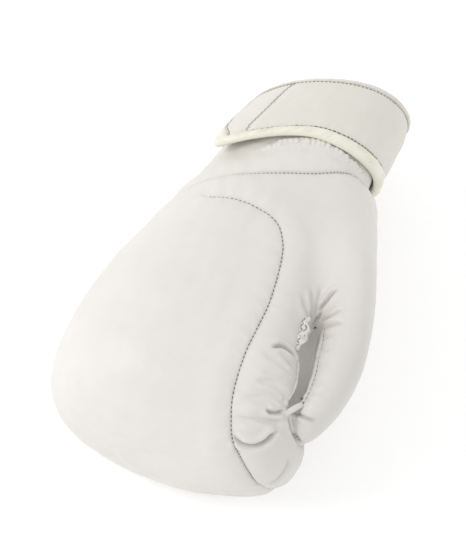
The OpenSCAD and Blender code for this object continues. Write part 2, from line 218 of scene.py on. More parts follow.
# the open gap between index side and thumb: left and right edge and floor along t
GAP = np.array([(152.0, 48.0, 48.3, 53.0), (156.0, 45.0, 48.0, 50.0), (160.0, 41.6, 48.3, 47.6), (165.0, 40.6, 49.0, 46.4), (170.0, 40.1, 49.8, 46.0), (177.0, 40.4, 50.6, 46.0), (183.0, 41.4, 50.9, 46.2),
                (188.0, 44.0, 51.4, 46.6), (195.0, 45.5, 51.7, 47.0), (202.0, 46.4, 51.4, 47.6), (207.0, 46.0, 50.5, 48.6), (212.0, 45.4, 49.3, 50.5), (216.0, 46.0, 48.4, 53.0), (219.0, 47.4, 47.6, 56.0)])
gx0, gx1, gz0 = (np.interp(Tt, GAP[:, 0], GAP[:, k])[None, :, None] for k in (1, 2, 3))
gx, gz = X[:, None, None], Z[None, None, :]
slot = smooth_max(smooth_max(gx0 - gx, gx - gx1 - 0.30 * (60 - np.clip(gz, 40, 60)), 1.0), gz0 - gz + 0.0 * gx, 3.0)
slot = np.maximum(slot, (np.abs(Tt - 185.5) - 33.5)[None, :, None])
D = smooth_max(D, -slot.astype(np.float32), 0.9)
# cut at the wrist, inside the strap
D = np.maximum(D, (50.2 - Tt)[None, :, None])
P, Q = extract(D)


def add_mesh(name, V, F, smooth=True):
    me = bpy.data.meshes.new(name)
    V = np.asarray(V, float)
    F = np.asarray(F, int)
    me.vertices.add(len(V))
    me.vertices.foreach_set("co", V.astype(np.float32).ravel())
    k = F.shape[1]
    me.loops.add(F.size)
    me.loops.foreach_set("vertex_index", F.astype(np.int32).ravel())
    me.polygons.add(len(F))
    me.polygons.foreach_set("loop_start", np.arange(0, F.size, k, dtype=np.int32))
    me.polygons.foreach_set("loop_total", np.full(len(F), k, np.int32))
    me.polygons.foreach_set("use_smooth", np.full(len(F), smooth))
    me.update(calc_edges=True)
    me.validate()
    ob = bpy.data.objects.new(name, me)
    bpy.context.scene.collection.objects.link(ob)
    return ob


def edges_of(F):
    k = F.shape[1]
    E = np.concatenate([np.stack([F[:, i], F[:, (i + 1) % k]], -1) for i in range(k)])
    E.sort(1)
    return np.unique(E, axis=0)


def laplace(V, E, it, lam=0.5, mu=None, hold=None):
    n = len(V)
    deg = np.bincount(E.ravel(), minlength=n).astype(float)[:, None]
    for k in range(it):
        for f in ((lam,) if mu is None else (lam, mu)):
            S = np.stack([np.bincount(E[:, 0], V[E[:, 1], c], n) + np.bincount(E[:, 1], V[E[:, 0], c], n) for c in range(V.shape[1])], -1)
            d = (S / np.maximum(deg, 1) - V) * f
            if hold is not None:
                d[hold] = 0
            V = V + d
    return V


def normals(V, F):
    """outward normals of a mesh in design coordinates whose faces turn outward in the frame"""
    M = V * [1, -1, 1]
    if F.shape[1] == 4:
        n = np.cross(M[F[:, 2]] - M[F[:, 0]], M[F[:, 3]] - M[F[:, 1]])
    else:
        n = np.cross(M[F[:, 1]] - M[F[:, 0]], M[F[:, 2]] - M[F[:, 0]])
    n = n * [1, -1, 1]
    N = np.stack([sum(np.bincount(F[:, k], n[:, c], len(V)) for k in range(F.shape[1])) for c in range(3)], -1)
    return N / np.maximum(np.linalg.norm(N, axis=1, keepdims=True), 1e-12)


def outward(V, F):
    """turns the faces of a closed mesh outward in the frame"""
    M = (V - V.mean(0)) * [1, -1, 1]
    v = (M[F[:, 0]] * np.cross(M[F[:, 1]], M[F[:, 2]])).sum()
    return F if v > 0 else F[:, ::-1]


Q = outward(P, Q)

virt_len = 47.2
# ------------------------------------------------------------------ surface
E = edges_of(Q)
P = laplace(P, E, 4, 0.5, -0.52)


def samp(F3, V):
    """value of a grid field at design points, trilinear"""
    g = np.stack([(V[:, 0] - X[0]) / H, (V[:, 1] - Tt[0]) / H, (V[:, 2] - Z[0]) / H], -1)
    s = np.array(F3.shape) - 1.001
    g = np.clip(g, 0, s)
    i = g.astype(int)
    f = g - i
    out = 0
    for dx in (0, 1):
        for dy in (0, 1):
            for dz in (0, 1):
                w = (f[:, 0] if dx else 1 - f[:, 0]) * (f[:, 1] if dy else 1 - f[:, 1]) * (f[:, 2] if dz else 1 - f[:, 2])
                out = out + w * F3[i[:, 0] + dx, i[:, 1] + dy, i[:, 2] + dz]
    return out


def dense(C, step=0.8, closed=False):
    """smooth line through control points, at even steps"""
    C = np.asarray(C, float)
    n = len(C)
    if closed:
        T = np.concatenate([C[-2:], C, C[:3]])
        u = np.linspace(2, 2 + n, 60 * n, endpoint=False)
    else:
        T = C
        u = np.linspace(0, n - 1, 60 * n)
    R = catmull(T, u)
    if closed:
        R = np.concatenate([R, R[:1]])
    s = np.concatenate([[0], np.cumsum(np.linalg.norm(np.diff(R, axis=0), axis=1))])
    m = max(4, int(round(s[-1] / step)))
    q = np.linspace(0, s[-1], m + 1)
    R = np.stack([np.interp(q, s, R[:, k]) for k in range(3)], -1)
    return R[:-1] if closed else R


class Line:
    """a line laid on the surface, with its tangents and surface normals"""

    def __init__(self, C, bvh, closed=False, step=0.8, snap=True):
        R = dense(C, step, closed)
        self.closed = closed
        N = np.zeros_like(R)
        for k in range(len(R)):
            loc, nrm, _, _ = bvh.find_nearest(Vector(R[k]))
            if snap:
                R[k] = loc
            N[k] = -np.array(nrm)
        for _ in range(6):
            M = R.copy()
            if closed:
                M = (np.roll(R, 1, 0) + np.roll(R, -1, 0)) / 2
                NM = (np.roll(N, 1, 0) + np.roll(N, -1, 0)) / 2
            else:
                M[1:-1] = (R[:-2] + R[2:]) / 2
                NM = N.copy()
                NM[1:-1] = (N[:-2] + N[2:]) / 2
            R = 0.5 * R + 0.5 * M
            N = 0.5 * N + 0.5 * NM
        if snap:
            for k in range(len(R)):
                loc, nrm, _, _ = bvh.find_nearest(Vector(R[k]))
                R[k] = loc
        T = np.gradient(R, axis=0) if not closed else (np.roll(R, -1, 0) - np.roll(R, 1, 0))
        T /= np.linalg.norm(T, axis=1, keepdims=True)
        N -= (N * T).sum(1, keepdims=True) * T
        N /= np.linalg.norm(N, axis=1, keepdims=True)
        self.R, self.T, self.N = R, T, N
        self.B = np.cross(N, T)
        self.s = np.concatenate([[0], np.cumsum(np.linalg.norm(np.diff(R, axis=0), axis=1))])
        self.length = self.s[-1]

    def query(self, V):
        """signed distance (sign from the side), position along the line, nearest point"""
        R32 = self.R.astype(np.float32)
        n = len(R32)
        C = R32[::5]
        near = np.empty(len(V), int)
        for a in range(0, len(V), 16384):
            v = V[a:a + 16384].astype(np.float32)
            d2 = (v ** 2).sum(1)[:, None] - 2 * v @ C.T + (C ** 2).sum(1)[None, :]
            k0 = d2.argmin(1) * 5
            w = k0[:, None] + np.arange(-5, 6)[None, :]
            w = w % n if self.closed else np.clip(w, 0, n - 1)
            e2 = ((v[:, None, :] - R32[w]) ** 2).sum(-1)
            near[a:a + 16384] = w[np.arange(len(v)), e2.argmin(1)]
        off = V - self.R[near]
        side = (off * self.B[near]).sum(1)
        al = (off * self.T[near]).sum(1)
        d = np.sqrt(np.maximum((off ** 2).sum(1) - np.minimum(np.abs(al), 0.6) ** 2, 0))
        return np.sign(side) * d, self.s[near] + al, near

    def around(self, V, reach):
        """points of V near the line"""
        return np.where(((V > self.R.min(0) - reach) & (V < self.R.max(0) + reach)).all(1))[0]


def wave_noise(V, scale, seed, n=18):
    """smooth noise from -1 to 1 in space, features about scale mm wide"""
    g = np.random.default_rng(seed)
    k = g.normal(size=(n, 3))
    k /= np.linalg.norm(k, axis=1, keepdims=True)
    k *= (2 * math.pi / scale) * g.uniform(0.6, 1.5, (n, 1))
    ph = g.uniform(0, 2 * math.pi, n)
    return np.sin(V @ k.T + ph).sum(-1) * math.sqrt(2.0 / n) * 0.7


def wave1(s, scale, seed, n=7):
    g = np.random.default_rng(seed)
    f = 2 * math.pi / scale * g.uniform(0.55, 1.6, n)
    ph = g.uniform(0, 2 * math.pi, n)
    return np.sin(np.asarray(s)[..., None] * f + ph).sum(-1) * math.sqrt(2.0 / n) * 0.7


def bvh_of(V, F):
    return BVHTree.FromPolygons(V.tolist(), F.tolist())


bv = bvh_of(P, Q)
S_SEAM = [(-48.3, 105, 14), (-45.8, 107.5, 27), (-40.5, 108.8, 37.5), (-33.5, 109.2, 45.4), (-26.1, 108, 49.7), (-17.7, 107.8, 53.5), (-8.4, 109.2, 56.4),
          (1.6, 112.0, 58.1), (7.9, 116.4, 59.0), (12.1, 123.8, 60.2), (14.3, 130.5, 60.8), (15.5, 139.6, 61.9), (16.2, 151.8, 63.0),
          (16.0, 166.0, 64.1), (14.3, 178.9, 65.3), (12.7, 189.4, 66.1), (11.7, 199.0, 66.6), (11.7, 212.6, 66.6), (13.3, 226.6, 65.1),
          (17.2, 237.2, 61.1), (22.3, 244.9, 54.2), (28.9, 248.7, 47.1), (36, 250.6, 38), (43.0, 251.4, 27.7), (51, 250.3, 15), (58.5, 247.6, 5), (65, 243.5, -4),
          (69, 238, -13), (69, 233, -26), (64, 231, -39), (55, 231, -48), (44, 232, -54), (31, 230, -59), (21, 221, -61), (15.5, 207, -61),
          (13, 190, -61), (14, 170, -61), (15, 150, -61), (13, 132, -60.5), (7, 119, -59.5), (-5, 111.5, -56), (-20, 108.5, -50), (-34, 108, -41),
          (-43, 107, -29), (-48, 105, -14)]
S_VIRTUAL = [(-47.5, 94, -12), (-48, 91, 0), (-47.5, 94, 12)]
W_SEAM = [(43.3, 57.6, 43.3), (33.7, 63.5, 48.8), (21.2, 70.6, 51.2), (9.1, 76.0, 51.4), (-7.7, 82.5, 49.1), (-21.1, 87.2, 44.1), (-31.2, 91.3, 37.9),
          (-42.3, 97.6, 26.3), (-47, 102, 18), (-49, 104.8, 9), (-49.6, 105.8, 0), (-49, 104.8, -9), (-46, 101, -21), (-40, 96, -34), (-28, 90, -45),
          (-10, 83, -53), (9, 76, -55.5), (25, 69, -54), (38, 62, -49), (50, 57, -39), (59, 54.5, -24), (64, 54, -8), (65.5, 54, 6), (61, 54.5, 22), (53, 55.5, 34)]
lineS = Line(S_SEAM + S_VIRTUAL, bv, closed=True)
lineW = Line(W_SEAM, bv, closed=True)

# closed lines need a known side: make the back panel side positive
def orient(line, inside):
    s, _, _ = line.query(np.array([inside], float))
    if s[0] < 0:
        line.B = -line.B
    return line


orient(lineS, (-60, 190, 0))
orient(lineW, (-40, 140, 40))

# right edge of the thumb gap, a sewn edge that runs on round the thumb
T_SEAM = [(49.5, 157.5, 51.0), (51.6, 163.5, 53.6), (52.4, 172, 56.6), (52.5, 182.8, 58.6), (52.9, 191.4, 60.2), (52.7, 201, 60.4),
          (51.8, 209.5, 58.0), (51.8, 216.5, 54.0), (53.5, 222.5, 47.5), (56.5, 227.5, 39.5), (59.8, 225.5, 30.5), (62.5, 219, 23.5), (65, 208, 19.5), (67.5, 194, 17.5),
          (68.5, 178, 17.0), (67.5, 160, 15.5), (65.5, 143, 12.0)]
# left edge of the gap, the folded edge of the index side
GAP_L = [(42.0, 160.5, 54.0), (43.6, 167, 53.4), (43.2, 175.6, 53.2), (44.6, 187.2, 54.2), (45.7, 196.8, 56.0), (46.5, 205.9, 56.6), (46.9, 213.0, 56.8)]
lineT = Line(T_SEAM, bv)
lineG = Line(GAP_L, bv)
# hidden seams
P_SEAM = [(62, 56.5, -16), (63.5, 70, -20), (63, 90, -24), (60.5, 112, -28), (56, 140, -30), (52, 165, -31), (56, 190, -31), (64, 212, -32), (67.5, 226, -33)]
C_FOLD = [(50, 206, -52), (58, 205, -42), (63.5, 205, -26), (65, 205.5, -10), (65, 206, 6), (63.5, 207, 18)]
lineP = Line(P_SEAM, bv)

# creases: points, depth, half width, ridge share
CREASES = [
    ([(24.8, 189.6, 64.3), (29.8, 186.2, 62.5), (34.0, 185.8, 60.8), (37.1, 186.5, 59.4), (40.4, 187.0, 57.4)], 2.8, 1.15, 0.45),
    ([(33.0, 223.8, 62.3), (35.3, 224.5, 61.5), (39.4, 223.0, 60.2), (43.1, 219.9, 58.8)], 3.0, 1.25, 0.45),
    ([(22.3, 243.5, 55.7), (25.7, 244.6, 53.7), (30.6, 244.2, 52.8), (35.0, 242.7, 52.8), (38.6, 240.0, 53.8), (41.4, 235.6, 55.6), (43.7, 230.7, 56.7)], 3.4, 1.5, 0.5),
    ([(47.2, 219.5, 56.7), (49.3, 223.1, 55.0), (52.9, 226.6, 52.0), (57.0, 227.5, 48.9), (62.6, 227.5, 43.3)], 1.5, 0.9, 0.35),
    ([(49.1, 215.9, 55.6), (50.6, 216.3, 55.0), (54.1, 217.9, 57.0), (58.1, 218.5, 58.4), (63.3, 217.6, 58.4)], 1.9, 1.1, 0.4),
    ([(54.3, 249.5, 15.1), (58.2, 247.3, 20.3), (59.9, 244.2, 28.8), (59.5, 240.2, 37.3), (57.0, 237.2, 43.5)], 1.1, 1.8, 0.5),
    ([(22.0, 212.8, 65.3), (28.5, 209.0, 64.5), (35.5, 206.0, 62.4), (41.0, 205.0, 60.0)], 0.8, 2.2, 0.5),
    ([(18.6, 224.4, 65.0), (28.2, 218.6, 64.1), (38.7, 214.6, 61.2)], 0.8, 2.2, 0.5),
    ([(18.9, 235.0, 62.3), (30.6, 231.2, 61.5), (40.5, 227.6, 59.1), (46.0, 224.2, 56.8)], 1.2, 2.2, 0.5),
    ([(20.0, 196.0, 66.0), (29.0, 195.5, 64.0), (38.0, 196.4, 60.5)], 0.6, 2.8, 0.4),
    ([(26.0, 201.5, 65.0), (33.0, 200.0, 63.0), (41.0, 200.5, 59.5)], 0.5, 1.8, 0.5),
    ([(24.0, 206.0, 65.3), (32.0, 203.0, 63.5), (39.0, 203.0, 60.8)], 0.45, 1.5, 0.5),
    ([(30.0, 190.5, 63.0), (36.0, 191.0, 61.0), (41.5, 192.5, 58.0)], 0.5, 1.6, 0.5),
    ([(48.9, 150.0, 51.8), (48.4, 153.2, 50.4), (47.0, 160.2, 46.8), (46.2, 164.4, 46.2)], 1.3, 0.8, 0.3),
    ([(47.4, 151.8, 49.8), (49.3, 146.0, 54.4), (51.5, 139.5, 58.5)], 2.2, 1.2, 0.6),
    ([(42.6, 160.0, 53.6), (37.5, 155.0, 56.2), (33.5, 150.5, 58.0)], 1.1, 1.8, 0.5),
    ([(44.6, 156.5, 51.0), (41.5, 150.5, 53.2), (38.5, 143.5, 55.0)], 1.1, 1.8, 0.5),
    ([(46.0, 153.5, 49.5), (44.6, 147.0, 51.8), (43.6, 139.5, 53.6)], 0.9, 1.8, 0.5),
    ([(50.6, 158.0, 52.0), (53.6, 156.0, 59.5), (57.5, 152.0, 63.5)], 1.4, 1.2, 0.6),
    ([(51.4, 163.0, 54.0), (55.0, 162.0, 61.5), (59.5, 160.0, 65.5)], 1.2, 1.2, 0.6),
    ([(52.3, 170.0, 57.0), (56.5, 169.5, 63.5)], 0.8, 1.2, 0.6),
    ([(53.0, 178.5, 59.0), (57.0, 178.5, 64.5)], 0.6, 1.2, 0.6),
    ([(53.0, 205.0, 60.0), (58.5, 204.6, 63.5), (63.0, 203.0, 65.0)], 0.7, 1.6, 0.5),
]


def detail(V, F, it):
    """height to add along the normal at each point, mm"""
    h = np.zeros(len(V))
    t = V[:, 1]
    # soft waves of padding under leather
    h += 0.24 * wave_noise(V, 38, 11) + 0.09 * wave_noise(V, 14, 12)
    # sewn seams: a groove with the padding swelling beside it
    for line, depth, wide, swell, seed in ((lineS, 1.25, 1.5, 0.9, 1), (lineW, 1.3, 1.5, 0.7, 2), (lineT, 1.0, 1.3, 0.5, 3), (lineP, 1.2, 1.5, 0.8, 4)):
        d, s, near = line.query(V)
        a = np.abs(d)
        hold = 1.0
        if line is lineS:   # the part of the loop that is no seam
            v0, v1 = line.s[-1] - virt_len, line.s[-1]
            hold = 1 - smoothstep(v0 - 6, v0, s)
            hold = hold * smoothstep(27, 36, s)
        else:
            hold = smoothstep(-3, 3, s) * (1 - smoothstep(line.length - 3, line.length + 3, s)) if not line.closed else 1.0
        pucker = (wave1(s, 6.5, 30 + seed) * np.exp(-(a / 4.5) ** 2) * 0.22 + wave1(s + 3 * np.sign(d), 15, 40 + seed) * np.exp(-(a / 11) ** 2) * 0.28) * smoothstep(0.3, 2.5, a)
        if line is lineW:
            pucker = pucker * (0.35 + 0.65 * smoothstep(10, -25, V[:, 2]))
        h += hold * (-0.75 * depth * np.exp(-(a / 0.7) ** 2) - 0.5 * depth * np.exp(-(a / (1.6 * wide)) ** 2) - 0.45 * np.exp(-(a / 6.5) ** 2) + swell * np.exp(-((a - 9.0) / 8.0) ** 2) + pucker)
    for C, depth, wide, ridge in CREASES:
        L = Line(C, bv, step=0.7)
        near = L.around(V, 6 * wide)
        d, s, _ = L.query(V[near])
        a = np.abs(d)
        u = s / L.length
        fade = smoothstep(-0.12, 0.25, u) * (1 - smoothstep(0.75, 1.12, u))
        h[near] += fade * (-0.55 * depth * np.exp(-(a / (0.5 * wide)) ** 2) - 0.60 * depth * np.exp(-(a / (1.25 * wide)) ** 2) + ridge * depth * (np.exp(-((d - 2.1 * wide) / (1.4 * wide)) ** 2) + np.exp(-((d + 2.1 * wide) / (1.4 * wide)) ** 2)))
    # small dimple on the index side
    r = np.linalg.norm(V - np.array([42.1, 213.8, 59.7]), axis=1)
    h += -1.0 * np.exp(-(r / 1.5) ** 2) - 0.5 * np.exp(-(r / 5) ** 2)
    # fine gathers across the index side, between the long seam and the gap
    zone = smoothstep(18, 26, V[:, 0]) * (1 - smoothstep(44, 52, V[:, 0])) * smoothstep(40, 50, V[:, 2]) * smoothstep(175, 190, t) * (1 - smoothstep(232, 246, t))
    h += zone * (0.30 * np.sin(t * 2 * math.pi / 6.2 + 1.6 * wave_noise(V, 22, 21)) + 0.25 * wave_noise(V * [0.35, 1, 0.6], 7.0, 22))
    # gathered roll just in front of the strap's edge
    ad = np.degrees(np.arctan2(V[:, 2] / 1.1, V[:, 0] - 17.0))
    kv = np.clip((ad - 90) / 85, 0, 1)
    kv = kv * kv * (3 - 2 * kv)
    tw = 52.0 * ((50 / 52) * (1 - 0.066 * np.cos(np.radians(ad))) + kv * 0.485 + 0.028) + 1.2
    q = t - tw
    up = smoothstep(28, 48, ad) * (1 - smoothstep(116, 138, ad)) * smoothstep(50.3, 52.0, t)
    ang = np.radians(ad) * 50.0                          # length round the wrist
    frill = wave1(ang + 0.5 * q, 4.3, 28) + 0.55 * wave1(ang - 0.6 * q, 2.6, 29)
    h += up * (2.3 * np.exp(-(np.abs(q) / 2.5) ** 2.8) - 0.15 * np.exp(-((q - 5.0) / 2.5) ** 2)) * (0.88 + 0.16 * wave1(ang, 13, 25))
    h += up * 0.48 * frill * np.exp(-((q - 0.6) / 2.4) ** 4)
    # the wrist panel's softer creases all round
    wz = smoothstep(50, 56, t) * (1 - smoothstep(70, 90, t))
    h += wz * (0.10 + 0.2 * smoothstep(0, -20, V[:, 2])) * wave_noise(V * [1, 1.6, 1], 12, 27)
    return h


virt_len = 47.2

# ------------------------------------------------------------------ refine, cut and split
def tri(Q):
    return np.concatenate([Q[:, [0, 1, 2]], Q[:, [0, 2, 3]]])


def refine(V, F, mark):
    """splits the edges whose two ends are marked"""
    e = np.concatenate([F[:, [0, 1]], F[:, [1, 2]], F[:, [2, 0]]])
    es = np.sort(e, 1)
    U, inv = np.unique(es, axis=0, return_inverse=True)
    inv = inv.ravel()
    m = mark[U[:, 0]] & mark[U[:, 1]]
    idx = np.full(len(U), -1)
    idx[m] = len(V) + np.arange(m.sum())
    V2 = np.concatenate([V, (V[U[m, 0]] + V[U[m, 1]]) / 2])
    n = len(F)
    k = [idx[inv[:n]], idx[inv[n:2 * n]], idx[inv[2 * n:]]]
    c = (k[0] >= 0).astype(int) + (k[1] >= 0) + (k[2] >= 0)
    out = [F[c == 0]]
    f = c == 3
    a, b, d = F[f].T
    p, q, r = k[0][f], k[1][f], k[2][f]
    out += [np.stack(x, 1) for x in ((a, p, r), (p, b, q), (r, q, d), (p, q, r))]
    for rot in range(3):
        kk0, kk1, kk2 = k[rot], k[(rot + 1) % 3], k[(rot + 2) % 3]
        A, B, C = F[:, rot], F[:, (rot + 1) % 3], F[:, (rot + 2) % 3]
        f = (c == 1) & (kk0 >= 0)
        out += [np.stack((A[f], kk0[f], C[f]), 1), np.stack((kk0[f], B[f], C[f]), 1)]
        f = (c == 2) & (kk2 < 0)
        out += [np.stack((A[f], kk0[f], kk1[f]), 1), np.stack((kk0[f], B[f], kk1[f]), 1), np.stack((A[f], kk1[f], C[f]), 1)]
    return V2, np.concatenate(out)


def cut(V, F, A, s):
    """cuts the triangles along s = 0; A holds more values per point"""
    s = np.where(np.abs(s) < 0.12, 0.0, s)
    e = np.concatenate([F[:, [0, 1]], F[:, [1, 2]], F[:, [2, 0]]])
    es = np.sort(e, 1)
    U, inv = np.unique(es, axis=0, return_inverse=True)
    inv = inv.ravel()
    m = s[U[:, 0]] * s[U[:, 1]] < 0
    if not m.any():
        return V, F, A, s
    idx = np.full(len(U), -1)
    idx[m] = len(V) + np.arange(m.sum())
    s0, s1 = s[U[m, 0]], s[U[m, 1]]
    w = (s0 / (s0 - s1))[:, None]
    V2 = np.concatenate([V, V[U[m, 0]] * (1 - w) + V[U[m, 1]] * w])
    A2 = np.concatenate([A, A[U[m, 0]] * (1 - w) + A[U[m, 1]] * w])
    s2 = np.concatenate([s, np.zeros(m.sum())])
    n = len(F)
    k = [idx[inv[:n]], idx[inv[n:2 * n]], idx[inv[2 * n:]]]
    c = (k[0] >= 0).astype(int) + (k[1] >= 0) + (k[2] >= 0)
    out = [F[c == 0]]
    for rot in range(3):
        ka, kb, kc = k[rot], k[(rot + 1) % 3], k[(rot + 2) % 3]
        a, b, d = F[:, rot], F[:, (rot + 1) % 3], F[:, (rot + 2) % 3]
        f = (c == 1) & (ka >= 0)
        out += [np.stack((a[f], ka[f], d[f]), 1), np.stack((ka[f], b[f], d[f]), 1)]
        f = (c == 2) & (kb < 0)      # edges ab and ca are crossed: a is alone
        out += [np.stack((a[f], ka[f], kc[f]), 1), np.stack((ka[f], b[f], d[f]), 1), np.stack((ka[f], d[f], kc[f]), 1)]
    return V2, np.concatenate(out), A2, s2


V = P
F = tri(Q)
# finer triangles where seams and creases are
near = np.zeros(len(V), bool)
for L, reach in [(L, 5.0) for L in (lineS, lineW, lineT, lineG, lineP)] + [(Line(C, bv, step=0.7), 3.2 * wide) for C, _, wide, _ in CREASES]:
    k = L.around(V, reach)
    near[k] |= np.abs(L.query(V[k])[0]) < reach
near |= (V[:, 1] < 76) & (V[:, 2] > 10)
near |= (V[:, 0] > 18) & (V[:, 0] < 52) & (V[:, 2] > 46) & (V[:, 1] > 170) & (V[:, 1] < 246)
V, F = refine(V, F, near)
near = np.zeros(len(V), bool)
for L, reach in [(L, 1.9) for L in (lineS, lineW, lineT, lineP)] + [(Line(C, bv, step=0.7), 1.6 * wide) for C, depth, wide, _ in CREASES if depth > 1]:
    k = L.around(V, reach + 1)
    near[k] |= np.abs(L.query(V[k])[0]) < reach
near |= (V[:, 1] < 68) & (V[:, 2] > 22)
V, F = refine(V, F, near)
E3 = edges_of(F)
V = laplace(V, E3, 2, 0.5, -0.52)
N = normals(V, F)
h = detail(V, F, 0)
V = V + N * h[:, None]
V[:, 2] = np.maximum(V[:, 2], -61.0)
# values that part the panels
sW = lineW.query(V)[0]
sS = lineS.query(V)[0]
sT = samp(dB, V) - samp(dT, V) + np.where(V[:, 1] < 62, -50.0, 0.0)
sI = lineT.query(V)[0]
sP = lineP.query(V)[0]
sZ = V[:, 2] - 21.0
sC = V[:, 1] - 206.0 - 0.35 * (V[:, 0] - 60.0)
A = np.stack([sW, sS, sT, sI, sP, sZ, sC], 1)
N = normals(V, F)
A = np.concatenate([A, N], 1)
for k in range(7):
    V, F, A, s = cut(V, F, A, A[:, k])
    A[:, k] = s
N = A[:, 7:10] / np.linalg.norm(A[:, 7:10], axis=1, keepdims=True)
val = A[F][:, :, :7].sum(1)
w_, s_, t_, i_, p_, z_, c_ = [val[:, k] > 0 for k in range(7)]
lab = np.full(len(F), 3)
lab[:] = 5                                  # palm
lab[c_] = 4                                 # finger curl
lab[z_] = 3                                 # index side
lab[~p_ & ~z_] = 6                          # little-finger side
lab[s_] = 2                                 # back
lab[t_ & ~s_] = 7                           # thumb
lab[~w_] = 1

THUMB_SIDE = bool(lineT.query(np.array([[78.0, 170.0, 50.0]]))[0][0] > 0)
# ------------------------------------------------------------------ materials
def srgb(r, g, b):
    def f(v):
        v /= 255.0
        return v / 12.92 if v <= 0.04045 else ((v + 0.055) / 1.055) ** 2.4
    return (f(r), f(g), f(b), 1.0)


class Nodes:
    """short hand for building a node material; 'pos' is the rest position in metres"""

    def __init__(self, name):
        self.m = bpy.data.materials.new(name)
        self.m.use_nodes = True
        self.t = self.m.node_tree
        self.b = self.t.nodes["Principled BSDF"]
        a = self.t.nodes.new("ShaderNodeAttribute")
        a.attribute_name = "pos"
        self.pos = a.outputs["Vector"]

    def new(self, kind, **kw):
        n = self.t.nodes.new(kind)
        for k, v in kw.items():
            setattr(n, k, v)
        return n

    def link(self, a, b):
        self.t.links.new(a, b)

    def noise(self, scale, detail=3.0, rough=0.55, vec=None, dist=0.0):
        n = self.new("ShaderNodeTexNoise")
        n.inputs["Scale"].default_value = scale
        n.inputs["Detail"].default_value = detail
        n.inputs["Roughness"].default_value = rough
        n.inputs["Distortion"].default_value = dist
        self.link(vec or self.pos, n.inputs["Vector"])
        return n.outputs["Fac"]

    def ramp(self, fac, stops):
        n = self.new("ShaderNodeValToRGB")
        e = n.color_ramp.elements
        while len(e) < len(stops):
            e.new(0.5)
        for k, (p, c) in enumerate(stops):
            e[k].position = p
            e[k].color = c if len(c) == 4 else (*c, 1)
        self.link(fac, n.inputs["Fac"])
        return n.outputs["Color"]

    def mapr(self, v, a, b, c, d):
        n = self.new("ShaderNodeMapRange")
        for k, x in zip(("From Min", "From Max", "To Min", "To Max"), (a, b, c, d)):
            n.inputs[k].default_value = x
        self.link(v, n.inputs["Value"])
        return n.outputs["Result"]

    def mix(self, fac, a, b, mode="MIX"):
        n = self.new("ShaderNodeMix", data_type="RGBA", blend_type=mode)
        self.link(fac, n.inputs["Factor"])
        for s, v in ((n.inputs["A"], a), (n.inputs["B"], b)):
            pass
        ia = [i for i in n.inputs if i.name == "A" and i.type == "RGBA"][0]
        ib = [i for i in n.inputs if i.name == "B" and i.type == "RGBA"][0]
        for s, v in ((ia, a), (ib, b)):
            if hasattr(v, "is_linked") or hasattr(v, "links"):
                self.link(v, s)
            else:
                s.default_value = v
        return [o for o in n.outputs if o.type == "RGBA"][0]

    def math(self, op, a, b=None):
        n = self.new("ShaderNodeMath", operation=op)
        for k, v in enumerate((a, b)):
            if v is None:
                continue
            if hasattr(v, "links"):
                self.link(v, n.inputs[k])
            else:
                n.inputs[k].default_value = v
        return n.outputs[0]

    def attr(self, name):
        a = self.new("ShaderNodeAttribute")
        a.attribute_name = name
        return a.outputs["Fac"]

    def bump(self, h, strength, distance, normal=None):
        n = self.new("ShaderNodeBump")
        n.inputs["Strength"].default_value = strength
        n.inputs["Distance"].default_value = distance
        self.link(h, n.inputs["Height"])
        if normal is not None:
            self.link(normal, n.inputs["Normal"])
        return n.outputs["Normal"]


def tone(c, k, w=0.0):
    return (c[0] * k * (1 + w), c[1] * k, c[2] * k * (1 - w), 1)


